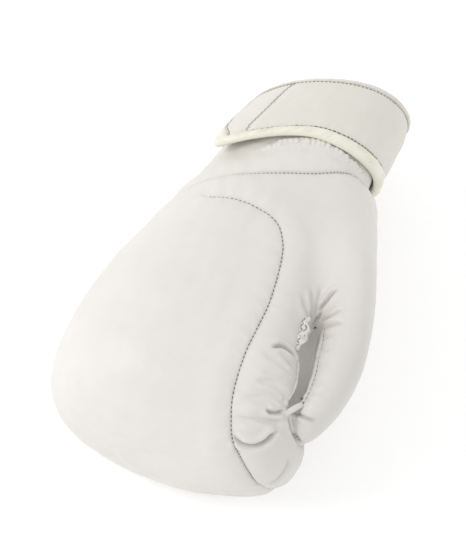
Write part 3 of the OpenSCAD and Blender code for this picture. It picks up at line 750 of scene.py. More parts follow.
def leather(name, col, rough=0.44, grain=1.0, grime_shade_mix=0.75, thumb_painted_shade=0.0):
    n = Nodes(name)
    n1 = n.noise(16, 3, 0.5)
    n2 = n.noise(70, 4, 0.6)
    base = n.ramp(n1, [(0.3, tone(col, 0.975, 0.006)), (0.5, tone(col, 1.0)), (0.72, tone(col, 1.015, -0.004))])
    fine = n.ramp(n2, [(0.3, (0.97, 0.97, 0.965)), (0.65, (1, 1, 1))])
    mul = n.mix(n.mapr(n2, 0, 1, 0.8, 1.0), base, fine, "MULTIPLY")
    if thumb_painted_shade:      # painted shade: a little greyer towards the thumb and the fingertips, where the light falls off
        sp = n.new("ShaderNodeSeparateXYZ")
        n.link(n.pos, sp.inputs[0])
        hx = n.mapr(sp.outputs[0], 0.012, 0.050, 0.0, 1.0)
        hy = n.mapr(sp.outputs[1], 0.025, -0.055, 0.0, 1.0)
        mul = n.mix(n.math("MULTIPLY", n.math("MULTIPLY", hx, hy), thumb_painted_shade), mul, tone(col, 0.82, 0.004))
    # grey dirt in the seams and painted shade along the deeper folds, faint and uneven
    w = n.math("MULTIPLY", n.attr("seam_grime_and_crease_shade"), n.mapr(n.noise(220, 3), 0.3, 0.7, 0.5, 1.0))
    colr = n.mix(n.math("MULTIPLY", w, grime_shade_mix), mul, tone(col, 0.40, 0.04))
    n.link(colr, n.b.inputs["Base Color"])
    r = n.math("ADD", n.mapr(n.noise(120, 4), 0.3, 0.7, rough - 0.05, rough + 0.07), n.math("MULTIPLY", w, 0.15))
    n.link(r, n.b.inputs["Roughness"])
    # pebbled grain: small cells with fine creases between, and pores
    v = n.new("ShaderNodeTexVoronoi", feature="SMOOTH_F1")
    v.inputs["Scale"].default_value = 820
    v.inputs["Smoothness"].default_value = 0.6
    d = n.new("ShaderNodeVectorMath", operation="ADD")
    nn = n.new("ShaderNodeTexNoise")
    nn.inputs["Scale"].default_value = 500
    n.link(n.pos, nn.inputs["Vector"])
    sc = n.new("ShaderNodeVectorMath", operation="SCALE")
    sc.inputs["Scale"].default_value = 0.0012
    n.link(nn.outputs["Color"], sc.inputs[0])
    n.link(n.pos, d.inputs[0])
    n.link(sc.outputs[0], d.inputs[1])
    n.link(d.outputs[0], v.inputs["Vector"])
    h = n.math("ADD", n.math("MULTIPLY", v.outputs["Distance"], 0.7), n.math("MULTIPLY", n.noise(2600, 2), 0.35))
    b1 = n.bump(h, 0.32 * grain, 0.00012)
    b2 = n.bump(n.noise(95, 5, 0.62, dist=0.6), 0.30 * grain, 0.0009, b1)
    n.link(b2, n.b.inputs["Normal"])
    n.b.inputs["Specular IOR Level"].default_value = 0.42
    return n.m


def binding_mat(name, col):
    n = Nodes(name)
    n1 = n.noise(40, 3)
    base = n.ramp(n1, [(0.3, tone(col, 0.965, 0.01)), (0.7, tone(col, 1.02))])
    w = n.math("MULTIPLY", n.attr("seam_grime_and_crease_shade"), n.mapr(n.noise(260, 3), 0.3, 0.7, 0.5, 1.0))
    n.link(n.mix(n.math("MULTIPLY", w, 0.5), base, tone(col, 0.62, 0.03)), n.b.inputs["Base Color"])
    n.link(n.mapr(n.noise(150, 3), 0.3, 0.7, 0.36, 0.50), n.b.inputs["Roughness"])
    b1 = n.bump(n.noise(1500, 3), 0.25, 0.0001)
    n.link(n.bump(n.noise(330, 4, 0.6, dist=0.8), 0.35, 0.0005, b1), n.b.inputs["Normal"])
    n.b.inputs["Specular IOR Level"].default_value = 0.5
    return n.m


def weave_mat(name, col, pitch=0.0009, rough=0.8):
    """plain-woven cloth on the 'cloth' attribute, which holds lengths in metres"""
    n = Nodes(name)
    a = n.new("ShaderNodeAttribute")
    a.attribute_name = "cloth"
    s = n.new("ShaderNodeSeparateXYZ")
    n.link(a.outputs["Vector"], s.inputs[0])
    k = 2 * math.pi / (2 * pitch)
    u = n.math("SINE", n.math("MULTIPLY", s.outputs[0], k))
    v = n.math("SINE", n.math("MULTIPLY", s.outputs[1], k))
    w = n.math("MULTIPLY", u, v)
    au, av = n.math("ABSOLUTE", u), n.math("ABSOLUTE", v)
    over = n.math("GREATER_THAN", w, 0.0)
    mixh = n.new("ShaderNodeMix", data_type="FLOAT")
    n.link(over, mixh.inputs[0])
    n.link(au, mixh.inputs[2])
    n.link(av, mixh.inputs[3])
    h = mixh.outputs[0]
    big = n.noise(25, 3)
    base = n.ramp(big, [(0.3, tone(col, 0.95)), (0.7, tone(col, 1.03))])
    # painted shade: darker where the weave's height is low, between the yarns
    n.link(n.mix(n.mapr(h, 0.0, 0.7, 0.4, 0.0), base, tone(col, 0.7)), n.b.inputs["Base Color"])
    n.b.inputs["Roughness"].default_value = rough
    b1 = n.bump(h, 0.5, 0.00015)
    n.link(n.bump(n.noise(160, 4), 0.35, 0.0006, b1), n.b.inputs["Normal"])
    n.b.inputs["Sheen Weight"].default_value = 0.25
    n.b.inputs["Sheen Roughness"].default_value = 0.4
    n.b.inputs["Specular IOR Level"].default_value = 0.25
    return n.m


def fuzz_mat(name, col, scale=1500, cells=False):
    n = Nodes(name)
    if cells:
        v = n.new("ShaderNodeTexVoronoi", feature="F1")
        v.inputs["Scale"].default_value = scale
        v.inputs["Randomness"].default_value = 0.35
        n.link(n.pos, v.inputs["Vector"])
        h = n.math("SUBTRACT", 1.0, v.outputs["Distance"])
    else:
        h = n.noise(scale, 5, 0.75, dist=1.2)
    # colour follows the bump: painted shade in its hollows, a little painted light on its tops
    n.link(n.ramp(h, [(0.3, tone(col, 0.72)), (0.6, tone(col, 1.0)), (0.85, tone(col, 1.06))]), n.b.inputs["Base Color"])
    n.b.inputs["Roughness"].default_value = 0.92
    n.link(n.bump(h, 0.9, 0.0006), n.b.inputs["Normal"])
    n.b.inputs["Sheen Weight"].default_value = 0.4
    n.b.inputs["Specular IOR Level"].default_value = 0.2
    return n.m


def thread_mat(name, col):
    n = Nodes(name)
    base = n.ramp(n.noise(900, 2), [(0.3, tone(col, 0.75)), (0.7, tone(col, 1.25))])
    n.link(base, n.b.inputs["Base Color"])
    n.b.inputs["Roughness"].default_value = 0.6
    n.link(n.bump(n.noise(6000, 1), 0.5, 0.0001), n.b.inputs["Normal"])
    return n.m


WHITE = srgb(220, 217, 212)
LEATHER = leather("leather_white", WHITE, thumb_painted_shade=0.62)
# painted shade: a slightly darker copy of the white leather, worn by the grip bar
LEATHER_PAINTED_SHADE = leather("leather_white_painted_shade", srgb(217, 215, 209), rough=0.42)
LEATHER_STRAP = leather("leather_strap", srgb(218, 215, 207), rough=0.46)
LEATHER_CUFF = leather("leather_cuff", srgb(218, 216, 210), rough=0.46)
BINDING = binding_mat("binding_cream", srgb(230, 229, 215))
LINING = weave_mat("lining_cloth", srgb(212, 210, 204))
STRAP_LINING = weave_mat("strap_lining_cloth", srgb(214, 212, 206), 0.0007)
LOOP = fuzz_mat("loop_tape", srgb(214, 213, 208), 1700)
HOOK = fuzz_mat("hook_tape", srgb(206, 205, 199), 700, True)
THREAD = thread_mat("thread_dark", srgb(108, 101, 93))
THREAD_LIGHT = thread_mat("thread_light", srgb(172, 166, 156))


def finish_piece(ob, mat, V=None, N=None, seam_grime_and_crease_shade=None, cloth=None, body="glove", hide=()):
    """material, rest positions and other values, custom normals and ride for a piece (a piece between two bodies is
    only baked in place); hides the parts it stands for
    """
    me = ob.data
    co = np.empty(len(me.vertices) * 3, np.float32)
    me.vertices.foreach_get("co", co)
    a = me.attributes.new("pos", "FLOAT_VECTOR", "POINT")
    a.data.foreach_set("vector", co)
    a = me.attributes.new("seam_grime_and_crease_shade", "FLOAT", "POINT")
    a.data.foreach_set("value", (np.zeros(len(me.vertices)) if seam_grime_and_crease_shade is None else np.asarray(seam_grime_and_crease_shade)).astype(np.float32))
    if cloth is not None:
        a = me.attributes.new("cloth", "FLOAT_VECTOR", "POINT")
        a.data.foreach_set("vector", np.asarray(cloth, np.float32).ravel())
    if N is not None:
        me.normals_split_custom_set_from_vertices((np.asarray(N) * [1, -1, 1]).tolist())
    me.materials.append(mat)
    if isinstance(body, tuple):
        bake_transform(ob)
    else:
        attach(ob, body)
    if hide:
        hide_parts(*hide)
    return ob

# ------------------------------------------------------------------ hand panels
def thick(V, F, N, T):
    """closed shell: the faces, a second layer T below, and a rim"""
    e = np.concatenate([F[:, [0, 1]], F[:, [1, 2]], F[:, [2, 0]]])
    key = np.sort(e, 1)
    U, inv, cnt = np.unique(key, axis=0, return_inverse=True, return_counts=True)
    rim = e[cnt[inv.ravel()] == 1]
    n = len(V)
    V2 = np.concatenate([V, V - N * T])
    F2 = np.concatenate([F, F[:, ::-1] + n,
                         np.stack([rim[:, 1], rim[:, 0], rim[:, 0] + n], 1), np.stack([rim[:, 1], rim[:, 0] + n, rim[:, 1] + n], 1)])
    return V2, F2, np.concatenate([N, -N])


# how much each point lies in a seam or fold: faint grey dirt in the seams and painted shade along the deeper creases
grime_and_shade_all = np.zeros(len(V))
for L, amt in ((lineS, 1.0), (lineW, 1.0), (lineT, 0.9), (lineP, 0.8)):
    d, s, _ = L.query(V)
    on = 1.0
    if L is lineS:
        on = smoothstep(27, 36, s) * (1 - smoothstep(L.s[-1] - virt_len - 20, L.s[-1] - virt_len, s))
    elif not L.closed:
        on = smoothstep(-2, 3, s) * (1 - smoothstep(L.length - 3, L.length + 2, s))
    grime_and_shade_all += amt * on * (0.85 * np.exp(-(d / 0.5) ** 2) + 0.16 * np.exp(-(d / 1.8) ** 2))
# painted shade: a thin grey line along each crease deeper than 1 mm
for C, depth, wide, ridge in CREASES:
    L = Line(C, bv, step=0.7)
    k = L.around(V, 4 * wide)
    d, s, _ = L.query(V[k])
    u = s / L.length
    fade = smoothstep(-0.02, 0.3, u) * (1 - smoothstep(0.7, 1.0, u))
    grime_and_shade_all[k] += fade * min(depth, 3.0) * (0.30 * np.exp(-(d / 0.42) ** 2) + 0.07 * np.exp(-(d / (0.9 * wide)) ** 2)) * (depth > 1)
grime_and_shade_all = np.clip(grime_and_shade_all, 0, 1)

tl = lab == 7
outer_thumb = tl & (i_ == THUMB_SIDE)
lab[outer_thumb] = 8
PANELS = {
    1: ("wrist_panel_leather", LEATHER, "wrist_panel", ("wrist_panel",)),
    2: ("back_panel_leather", LEATHER, "back_panel", ("back_panel", "knuckle_foam_outer", "knuckle_foam_inner")),
    3: ("index_side_leather", LEATHER, "index_side_panel", ("index_side_panel",)),
    4: ("finger_curl_leather", LEATHER, "finger_curl_panel", ("finger_curl_panel",)),
    5: ("palm_leather", LEATHER, "palm_panel", ("palm_panel",)),
    6: ("little_side_leather", LEATHER, "ulnar_side_panel", ("ulnar_side_panel",)),
    7: ("thumb_inner_leather", LEATHER, "thumb_inner_panel", ("thumb_inner_panel",)),
    8: ("thumb_outer_leather", LEATHER, "thumb_outer_panel", ("thumb_outer_panel", "thumb_foam")),
}
for k, (name, mat, slot_, hide) in PANELS.items():
    f = F[lab == k]
    if not len(f):
        continue
    u, inv = np.unique(f, return_inverse=True)
    v2, f2, n2 = thick(V[u], inv.reshape(f.shape), N[u], 1.3)
    ob = add_mesh(name, W(v2), f2)
    finish_piece(ob, mat, N=n2, seam_grime_and_crease_shade=np.concatenate([grime_and_shade_all[u]] * 2), hide=hide)
bvf = bvh_of(V, F)


# ------------------------------------------------------------------ stitches
def capsules(A, B, Nn, r, dip=0.45):
    """small threads from A to B lying on a surface with normals Nn; ends dip into it"""
    A, B, Nn = (np.asarray(x, float) for x in (A, B, Nn))
    r = np.broadcast_to(np.asarray(r, float), (len(A),))
    T = B - A
    T /= np.linalg.norm(T, axis=1, keepdims=True)
    Nn = Nn - (Nn * T).sum(1, keepdims=True) * T
    Nn /= np.linalg.norm(Nn, axis=1, keepdims=True)
    S = np.cross(Nn, T)
    u = np.array([0, 0.07, 0.24, 0.76, 0.93, 1.0])
    q = np.array([0.25, 0.75, 1.0, 1.0, 0.75, 0.25])
    dp = np.array([1.0, 0.55, 0.05, 0.05, 0.55, 1.0]) * dip
    ph = np.arange(6) * math.pi / 3
    c = A[:, None] + (B - A)[:, None] * u[None, :, None] - Nn[:, None] * dp[None, :, None]
    P = c[:, :, None] + (np.cos(ph)[None, None, :, None] * Nn[:, None, None] + np.sin(ph)[None, None, :, None] * S[:, None, None]) * (q[None, :, None, None] * r[:, None, None, None])
    V_ = P.reshape(-1, 3)
    f = []
    for i in range(5):
        for j in range(6):
            k = (j + 1) % 6
            f.append((i * 6 + j, i * 6 + k, (i + 1) * 6 + k, (i + 1) * 6 + j))
    f += [(3, 2, 1, 0), (5, 4, 3, 0), (30, 31, 32, 33), (30, 33, 34, 35)]
    f = np.array(f)[:, ::-1]
    F_ = (np.arange(len(A))[:, None, None] * 36 + f[None]).reshape(-1, 4)
    # turned outward in the frame
    M = V_ * [1, -1, 1]
    one = F_[:len(f)]
    ctr = M[:36].mean(0)
    vol = ((M[one[:, 0]] - ctr) * np.cross(M[one[:, 1]] - ctr, M[one[:, 2]] - ctr)).sum()
    return V_, F_ if vol > 0 else F_[:, ::-1]


def on_surface(P, bvh, lift=0.0):
    out, nn = np.empty_like(P), np.empty_like(P)
    for k in range(len(P)):
        loc, nrm, _, _ = bvh.find_nearest(Vector(P[k]))
        out[k] = loc
        nn[k] = -np.array(nrm)
    return out + nn * lift, nn


def laid(L, s0, s1, off=0.0, step=0.5):
    """the line laid in the groove of the finished surface, evened out, with normals"""
    q = np.arange(s0, s1, step)

    def at(A):
        return np.stack([np.interp(q, L.s, A[:, c]) for c in range(3)], -1)
    R, N_, B = at(L.R), at(L.N), at(L.B)
    R = R + B * off
    P_, M = R.copy(), N_.copy()
    for k in range(len(R)):
        hit = bvf.ray_cast(Vector(R[k] + 3.0 * N_[k]), Vector(-N_[k]), 9.0)
        if hit[0] is not None:
            P_[k] = hit[0]
    w = np.array([1, 2, 3, 4, 3, 2, 1], float)
    w /= w.sum()
    P_ = np.stack([np.convolve(np.pad(P_[:, c], 3, mode="edge"), w, "valid") for c in range(3)], -1)
    return q - s0, P_, N_ / np.linalg.norm(N_, axis=1, keepdims=True)


def seam_stitches(name, L, s0, s1, pitch=2.7, length=1.9, r=0.27, off=0.0, lift=0.10, mat=None, body="glove", seed=5):
    g = np.random.default_rng(seed)
    q, P_, M = laid(L, s0, s1, off)
    t = np.arange(0.2, q[-1] - length, pitch)
    t = t + g.uniform(-0.1, 0.1, len(t))
    P_ = P_ + M * lift

    def at(A, x):
        return np.stack([np.interp(x, q, A[:, c]) for c in range(3)], -1)
    A, B = at(P_, t), at(P_, t + length * g.uniform(0.92, 1.05, len(t)))
    V_, F_ = capsules(A, B, at(M, t + length / 2), r * g.uniform(0.9, 1.08, len(t)), 0.3)
    ob = add_mesh(name, W(V_), F_)
    return finish_piece(ob, mat or THREAD, body=body)


vend = lineS.s[-1] - virt_len
# the long seam; it sinks out of sight at its end on the back of the hand
seam_stitches("stitches_back_panel", lineS, 34.0, vend - 18, seed=11)
seam_stitches("stitches_wrist", lineW, 0.0, lineW.length, pitch=2.5, length=1.8, r=0.25, seed=12)
t_stop = lineT.s[np.argmax(lineT.R[:, 1] > 214.5)]
t_more = lineT.s[np.argmax((lineT.R[:, 2] < 33) & (lineT.s > 60))]
seam_stitches("stitches_thumb_edge", lineT, 1.5, t_stop, pitch=2.9, length=2.2, r=0.27, seed=13)
seam_stitches("stitches_thumb_under", lineT, t_more, lineT.length - 1, pitch=2.9, length=2.1, r=0.27, seed=15)
seam_stitches("stitches_palm_edge", lineP, 2.0, lineP.length - 1, pitch=2.7, length=1.9, r=0.27, seed=14)

# the join of wrist panel and cuff, round the side the strap leaves bare
RING = [(16.0 + 49.0 * math.cos(math.radians(q_)), 53.2, 52.0 * math.sin(math.radians(q_))) for q_ in range(168, 316, 6)]
lineJ = Line(RING, bv)
seam_stitches("stitches_cuff_join", lineJ, 0.5, lineJ.length - 0.5, pitch=2.6, length=1.8, r=0.26, seed=16)

# ------------------------------------------------------------------ strap
def kp(s, a, off):
    r = 40.0 + 6.0 * s
    a = np.radians(a)
    return np.stack(np.broadcast_arrays(16.0 + 15.0 * (1 - s) + (r + off) * np.cos(a), 52.0 * s - 0.2 * (1 - s) * r * np.cos(a), (1.1 * r + off) * np.sin(a)), -1)


def veer(a):
    k = np.clip((np.asarray(a, float) - 90) / 85, 0, 1)
    return k * k * (3 - 2 * k)


A_ROOT, A_END = -58.0, 175.0
CUT1, CUT2 = 2.0, 68.0


def s_lo(a):
    return (1 / 52) * (1 - 0.066 * np.cos(np.radians(a))) + veer(a) * (0.12 + 0.38 / 52) - 0.018 * smoothstep(30, 80, a) + 0.02 * smoothstep(20, -20, a)


def s_hi(a):
    return (50 / 52) * (1 - 0.066 * np.cos(np.radians(a))) + veer(a) * (0.12 + 0.38 * 50 / 52) + 0.028 * smoothstep(20, 60, a)


# length along the strap, measured at its middle
_a = np.linspace(A_ROOT, A_END, 1500)
_m = kp((s_lo(_a) + s_hi(_a)) / 2, _a, 4.0 + 2.5 * veer(_a))
_l = np.concatenate([[0], np.cumsum(np.linalg.norm(np.diff(_m, axis=0), axis=1))])
LEN = _l[-1]


def a_at(l):
    return np.interp(l, _l, _a)


def l_at(a):
    return np.interp(a, _a, _l)


RC_END, RC_ROOT = 12.0, 5.0
BW = 8.0      # binding width
HW = 3.6      # turned hem


def strap_width(l):
    a = a_at(l)
    return 52.0 * (s_hi(a) - s_lo(a)) * 1.02


def corner(e, y, rc):
    q = (e < rc) & (y < rc)
    return np.where(q, rc - np.hypot(np.minimum(e, rc) - rc, np.minimum(y, rc) - rc), np.minimum(e, y))


def fillet(A, B, C, r, n=24):
    """round the corner B of the path A, B, C"""
    A, B, C = (np.array(v, float) for v in (A, B, C))
    u, v = (A - B) / np.linalg.norm(A - B), (C - B) / np.linalg.norm(C - B)
    half = math.acos(float(u @ v)) / 2
    m = (u + v) / np.linalg.norm(u + v)
    O = B + m * r / math.sin(half)
    p, q = B + u * r / math.tan(half) - O, B + v * r / math.tan(half) - O
    w = math.pi - 2 * half
    k = np.linspace(0, 1, n)[:, None]
    return O + (np.sin((1 - k) * w) * p + np.sin(k * w) * q) / math.sin(w)


# the bound edge in (distance from the end, distance from the fist edge): the fist
# edge, the slanted corner and the end
CUT_E, CUT_F = 22.5, 45.0
BIND_END = 47.0    # the binding ends here, measured from the fist edge
BOUND = np.concatenate([np.stack([np.arange(90.0, CUT_E + 5, -1.0), np.zeros(len(np.arange(90.0, CUT_E + 5, -1.0)))], -1),
                        fillet((90, 0), (CUT_E, 0), (0, CUT_F), 8.0), fillet((CUT_E, 0), (0, CUT_F), (0, 90), 24.0), [[0, 90.0]]])
_s = np.concatenate([[0], np.cumsum(np.linalg.norm(np.diff(BOUND, axis=0), axis=1))])
_q = np.arange(0, _s[-1], 0.25)
BOUND = np.stack([np.interp(_q, _s, BOUND[:, k]) for k in (0, 1)], -1)
BT = np.gradient(BOUND, axis=0)
BT /= np.linalg.norm(BT, axis=1, keepdims=True)
BN = np.stack([-BT[:, 1], BT[:, 0]], -1)
if (BN[5] @ np.array([0, 1.0])) < 0:
    BN = -BN


def bound_dist(e, f):
    """distance inwards from the bound edge"""
    e, f = np.broadcast_arrays(np.asarray(e, float), np.asarray(f, float))
    out = f.copy().ravel()
    q = np.stack([e.ravel(), f.ravel()], -1)
    m = np.where(q[:, 0] < 80)[0]
    for a in range(0, len(m), 20000):
        k = m[a:a + 20000]
        d2 = ((q[k, None, :] - BOUND[None, ::3]) ** 2).sum(-1)
        c = d2.argmin(1) * 3
        w = np.clip(c[:, None] + np.arange(-3, 4), 0, len(BOUND) - 1)
        e2 = ((q[k, None, :] - BOUND[w]) ** 2).sum(-1)
        j = w[np.arange(len(k)), e2.argmin(1)]
        out[k] = ((q[k] - BOUND[j]) * BN[j]).sum(1)
    return out.reshape(e.shape)


def inset(l):
    """how far the outline is drawn in at the opening edge"""
    e, r = LEN - l, l
    i = np.where(e < RC_END, RC_END - np.sqrt(np.maximum(RC_END ** 2 - (RC_END - e) ** 2, 0)), 0)
    j = np.where(r < RC_ROOT, RC_ROOT - np.sqrt(np.maximum(RC_ROOT ** 2 - (RC_ROOT - r) ** 2, 0)), 0)
    return i + j


def inset_fist(l):
    e, r = LEN - l, l
    o = BOUND[::-1]
    k = np.argmax(o[:, 0] > 1e-6)
    i = np.interp(e, o[k - 1:, 0], o[k - 1:, 1])
    j = np.where(r < RC_ROOT, RC_ROOT - np.sqrt(np.maximum(RC_ROOT ** 2 - (RC_ROOT - r) ** 2, 0)), 0)
    return i + j


L_SEAM = l_at(138.0)


def strap_heights(l, w):
    """top and bottom of the strap above its lowest face, at length l and distance w from the opening edge"""
    W_ = strap_width(l)
    e, r = LEN - l, l
    f = W_ - w
    bd = bound_dist(e, f)
    d = np.minimum(np.minimum(corner(e, w, RC_END), bd), np.minimum(corner(r, w, RC_ROOT), corner(r, f, RC_ROOT)))
    d = np.maximum(d, 0)
    # distance to the bound edge (fist edge and slanted corner) and to the hemmed edges;
    # the binding narrows to the width of the hem along the slant
    root = np.maximum(corner(r, f, RC_ROOT), 0)
    fe = np.maximum(np.where((r < RC_ROOT) & (f < 12), np.minimum(bd, root), bd), 0)
    oe = np.maximum(np.minimum(corner(e, w, RC_END), corner(r, w, RC_ROOT)), 0)
    end = f > BIND_END
    oe = np.where(end, np.minimum(oe, np.where(e < 40, bd, 99.0)), np.minimum(w, np.where(f < 12, 99.0, r)))
    oe = np.maximum(oe, 0)
    slim = smoothstep(7, 33, f) * (e < 60)
    bwv = BW - (BW - HW) * slim
    dl_f = np.where(end, 99.0, fe - bwv)
    dl_o = oe - HW
    dl = np.minimum(dl_f, dl_o)
    P3 = np.stack([l, w, 0 * l], -1)
    full = smoothstep(0, 26, l) * 0.35 + 0.65        # thinner at the sewn root
    leatherT = 4.15 + 1.05 * smoothstep(0.3, 10.4, dl)
    leatherT = leatherT - (0.55 - 0.1 * slim) * np.exp(-((dl_f - 0.9 + 0.2 * slim) / (1.5 - 0.7 * slim)) ** 2)
    leatherT = leatherT - 0.45 * np.exp(-((dl_o - 0.7) / 0.8) ** 2)
    # the joint across the strap near its free end
    leatherT = leatherT - 0.30 * np.exp(-((l - L_SEAM) / 1.3) ** 2) - 0.30 * smoothstep(L_SEAM - 0.6, L_SEAM + 0.8, l) + 0.35 * np.exp(-((l - L_SEAM + 5) / 4.0) ** 2)
    leatherT = leatherT + 0.20 * wave_noise(P3, 38, 51) + 0.09 * wave_noise(P3, 13, 52) * (1 + 1.5 * np.exp(-((dl_f - 3) / 4) ** 2)) + 0.14 * wave1(l, 6.5, 53) * np.exp(-((dl_f - 3) / 2.5) ** 2)
    # shallow dents and creases that come from bending round the wrist
    leatherT = leatherT - 0.22 * np.exp(-((wave_noise(P3 * [1, 0.25, 1], 16, 56)) / 0.22) ** 2) * smoothstep(6, 22, dl_f) * 0.8
    fe = np.where(end, fe + 30.0, fe * BW / bwv)
    wr = 0.34 * np.sin(2 * math.pi * (l * 0.92 + fe * 0.75) / 2.9 + 1.8 * wave_noise(P3, 9, 54)) * (0.6 + 0.5 * wave_noise(P3, 14, 57)) + 0.32 * wave_noise(P3 * [1.2, 0.6, 1], 9.5, 55)
    wr = wr * (1 - 0.75 * slim)
    bindT = 5.45 - 1.35 * np.abs((fe - 3.9) / 4.1) ** 2.2 + wr * smoothstep(0.5, 2.2, fe) * smoothstep(8.0, 6.4, fe)
    bindT = bindT * (1 - slim) + slim * (4.45 - 0.40 * np.abs((fe - 3.9) / 4.1) ** 2)
    hemT = 4.35 - 0.35 * np.abs((oe - 1.9) / 1.9) ** 2 + 0.10 * wave1(l, 7, 58)
    T = np.where(fe < BW, bindT, np.where(oe < HW, hemT, leatherT))
    T = T - (0.95 - 0.65 * slim) * np.exp(-((fe - BW) / 0.42) ** 2) - 0.30 * np.exp(-((oe - HW) / 0.40) ** 2)
    T = T * full
    rho = np.where(fe < BW, 2.6, 1.8)
    q = np.sqrt(np.maximum(1 - (1 - np.minimum(d / rho, 1)) ** 2, 0))
    mid_ = 0.46 * T
    return mid_ + (T - mid_) * q, mid_ - mid_ * q, fe, oe, d


def strap_pos(l, w, h):
    a = a_at(l)
    s = s_lo(a) + (w / 1.02) / 52.0
    base = 0.15 + 1.35 * smoothstep(2, 24, l) + 2.5 * veer(a) + 0.8 * smoothstep(LEN - 30, LEN, l) + 2.0 * smoothstep(105, 150, a) * (1 - 0.55 * w / 60.0)
    return kp(s, a, base + h)


rows_o = [0, 0.1, 0.35, 0.7, 1.1, 1.6, 2.2, 2.8, 3.2, 3.6, 3.9, 4.3, 4.8, 5.6, 6.8]
rows_f = [13.6, 12.2, 11.0, 10.0, 9.3, 8.8, 8.4, 8.0, 7.7, 7.3, 6.7, 6.0, 5.2, 4.4, 3.6, 2.9, 2.2, 1.6, 1.1, 0.7, 0.35, 0.1, 0]
cols = np.concatenate([[0, 0.1, 0.35, 0.7, 1.1, 1.6, 2.2, 2.8, 3.6], np.arange(4.5, LEN - 30.0, 0.6), np.arange(LEN - 29.6, LEN - 4.8, 0.36), LEN - np.array([4.6, 4.2, 3.6, 3.0, 2.4, 1.8, 1.3, 0.8, 0.4, 0.12, 0])])
cols = np.sort(np.concatenate([cols, [l_at(CUT1), l_at(CUT2)]]))
lw = strap_width(cols)
ii = inset(cols)
if_ = inset_fist(cols)
nm = 46
WR = []
for k in range(len(cols)):
    lo, hi = ii[k], lw[k] - if_[k]
    a_, b_ = lo + rows_o[-1], hi - rows_f[0]
    WR.append(np.concatenate([lo + np.array(rows_o), np.linspace(a_, b_, nm + 2)[1:-1], hi - np.array(rows_f)]))
WR = np.array(WR)
Lg = np.repeat(cols[:, None], WR.shape[1], 1)
top_h, bot_h, FE, OE, DD = strap_heights(Lg, WR)
sel = [0, 2, 4, 6, 8, 9, 11, 14] + list(range(18, 15 + nm, 4)) + [15 + nm + k for k in (0, 3, 5, 7, 9, 11, 13, 15, 17, 19, 20, 22)]
top = strap_pos(Lg, WR, top_h)
bot = strap_pos(Lg[:, sel], WR[:, sel], bot_h[:, sel])
nc, nr = WR.shape
nb = len(sel)


def grid_faces(n, m, base=0):
    i, j = np.meshgrid(np.arange(n - 1), np.arange(m - 1), indexing="ij")
    a = (i * m + j).ravel() + base
    return np.stack([a, a + m, a + m + 1, a + 1], 1)


SV = np.concatenate([top.reshape(-1, 3), bot.reshape(-1, 3)])
fT, fB = grid_faces(nc, nr), grid_faces(nc, nb, nc * nr)[:, ::-1]
SF = np.concatenate([fT, fB])
# labels: 0 leather, 1 binding, 2 hem, 3 lining
cfe = (FE[:-1, :-1] + FE[1:, 1:]).ravel() / 2
coe = (OE[:-1, :-1] + OE[1:, 1:]).ravel() / 2
labT = np.where(cfe < BW, 1, np.where(coe < HW, 2, 0))
fb, ob_ = FE[:, sel], OE[:, sel]
cfb = (fb[:-1, :-1] + fb[1:, 1:]).ravel() / 2
cob = (ob_[:-1, :-1] + ob_[1:, 1:]).ravel() / 2
labB = np.where(cfb < 6.7, 1, np.where(cob < HW, 2, 3))
SL_ = np.concatenate([labT, labB])
colA = a_at((cols[:-1] + cols[1:]) / 2)
seg = np.concatenate([np.repeat(np.digitize(colA, [CUT1, CUT2]), nr - 1), np.repeat(np.digitize(colA, [CUT1, CUT2]), nb - 1)])
# one solid: join the top and bottom along the edge
key = np.round(SV, 4)
_, first, inv = np.unique(key, axis=0, return_index=True, return_inverse=True)
inv = inv.ravel()
SV = SV[first]
SF = inv[SF]
SF = outward(SV, SF)
SN = normals(SV, SF)
lv = np.concatenate([Lg.ravel(), Lg[:, sel].ravel()])[first]
wv = np.concatenate([WR.ravel(), WR[:, sel].ravel()])[first]
fev = np.concatenate([FE.ravel(), FE[:, sel].ravel()])[first]
oev = np.concatenate([OE.ravel(), OE[:, sel].ravel()])[first]
s_wear = np.clip(0.8 * np.exp(-((fev - BW) / 0.6) ** 2) + 0.5 * np.exp(-((oev - HW) / 0.6) ** 2) + 0.22 * np.exp(-((lv - L_SEAM) / 1.2) ** 2) * (fev > BW), 0, 1)


def hinge_blend(k):
    """bodies and the two points between which a strap part passes from one to the other"""
    A_, B_, a0, a1 = (("glove", "strap_base", -24.0, -8.0), ("strap_base", "strap_wrap", 27.0, 45.0), ("strap_wrap", "strap_tab", 102.0, 122.0))[k]
    p, q = (Vector(W(kp(np.float64(0.5), np.float64(a), 6.2))) for a in (a0, a1))
    return (A_, B_, tuple(p), tuple(q))


SEG = ("base", "wrap", "tab")
KIND = {0: ("leather", LEATHER_STRAP), 1: ("binding", BINDING), 2: ("edge", LEATHER_STRAP), 3: ("lining", STRAP_LINING)}
for g_ in range(3):
    for kd, (kn, mat) in KIND.items():
        f = SF[(seg == g_) & (SL_ == kd)]
        u, inv = np.unique(f, return_inverse=True)
        name = "strap_%s_%s" % (SEG[g_], kn)
        node, mt = name, mat
        if kd == 3 and g_ == 2:
            node, mt, name = "strap_hook_patch", HOOK, "strap_tab_hook_patch"
        ob = add_mesh(name + "_soft", W(SV[u]), inv.reshape(f.shape))
        hide = [node]
        if kd == 0:
            hide.append("strap_%s_foam" % SEG[g_])
            if g_ == 0:
                hide += ["strap_anchor", "strap_anchor_stitches"]
        finish_piece(ob, mt, N=SN[u], seam_grime_and_crease_shade=s_wear[u], cloth=np.stack([lv[u], wv[u], 0 * lv[u]], -1) / 1000, body=hinge_blend(g_), hide=hide)


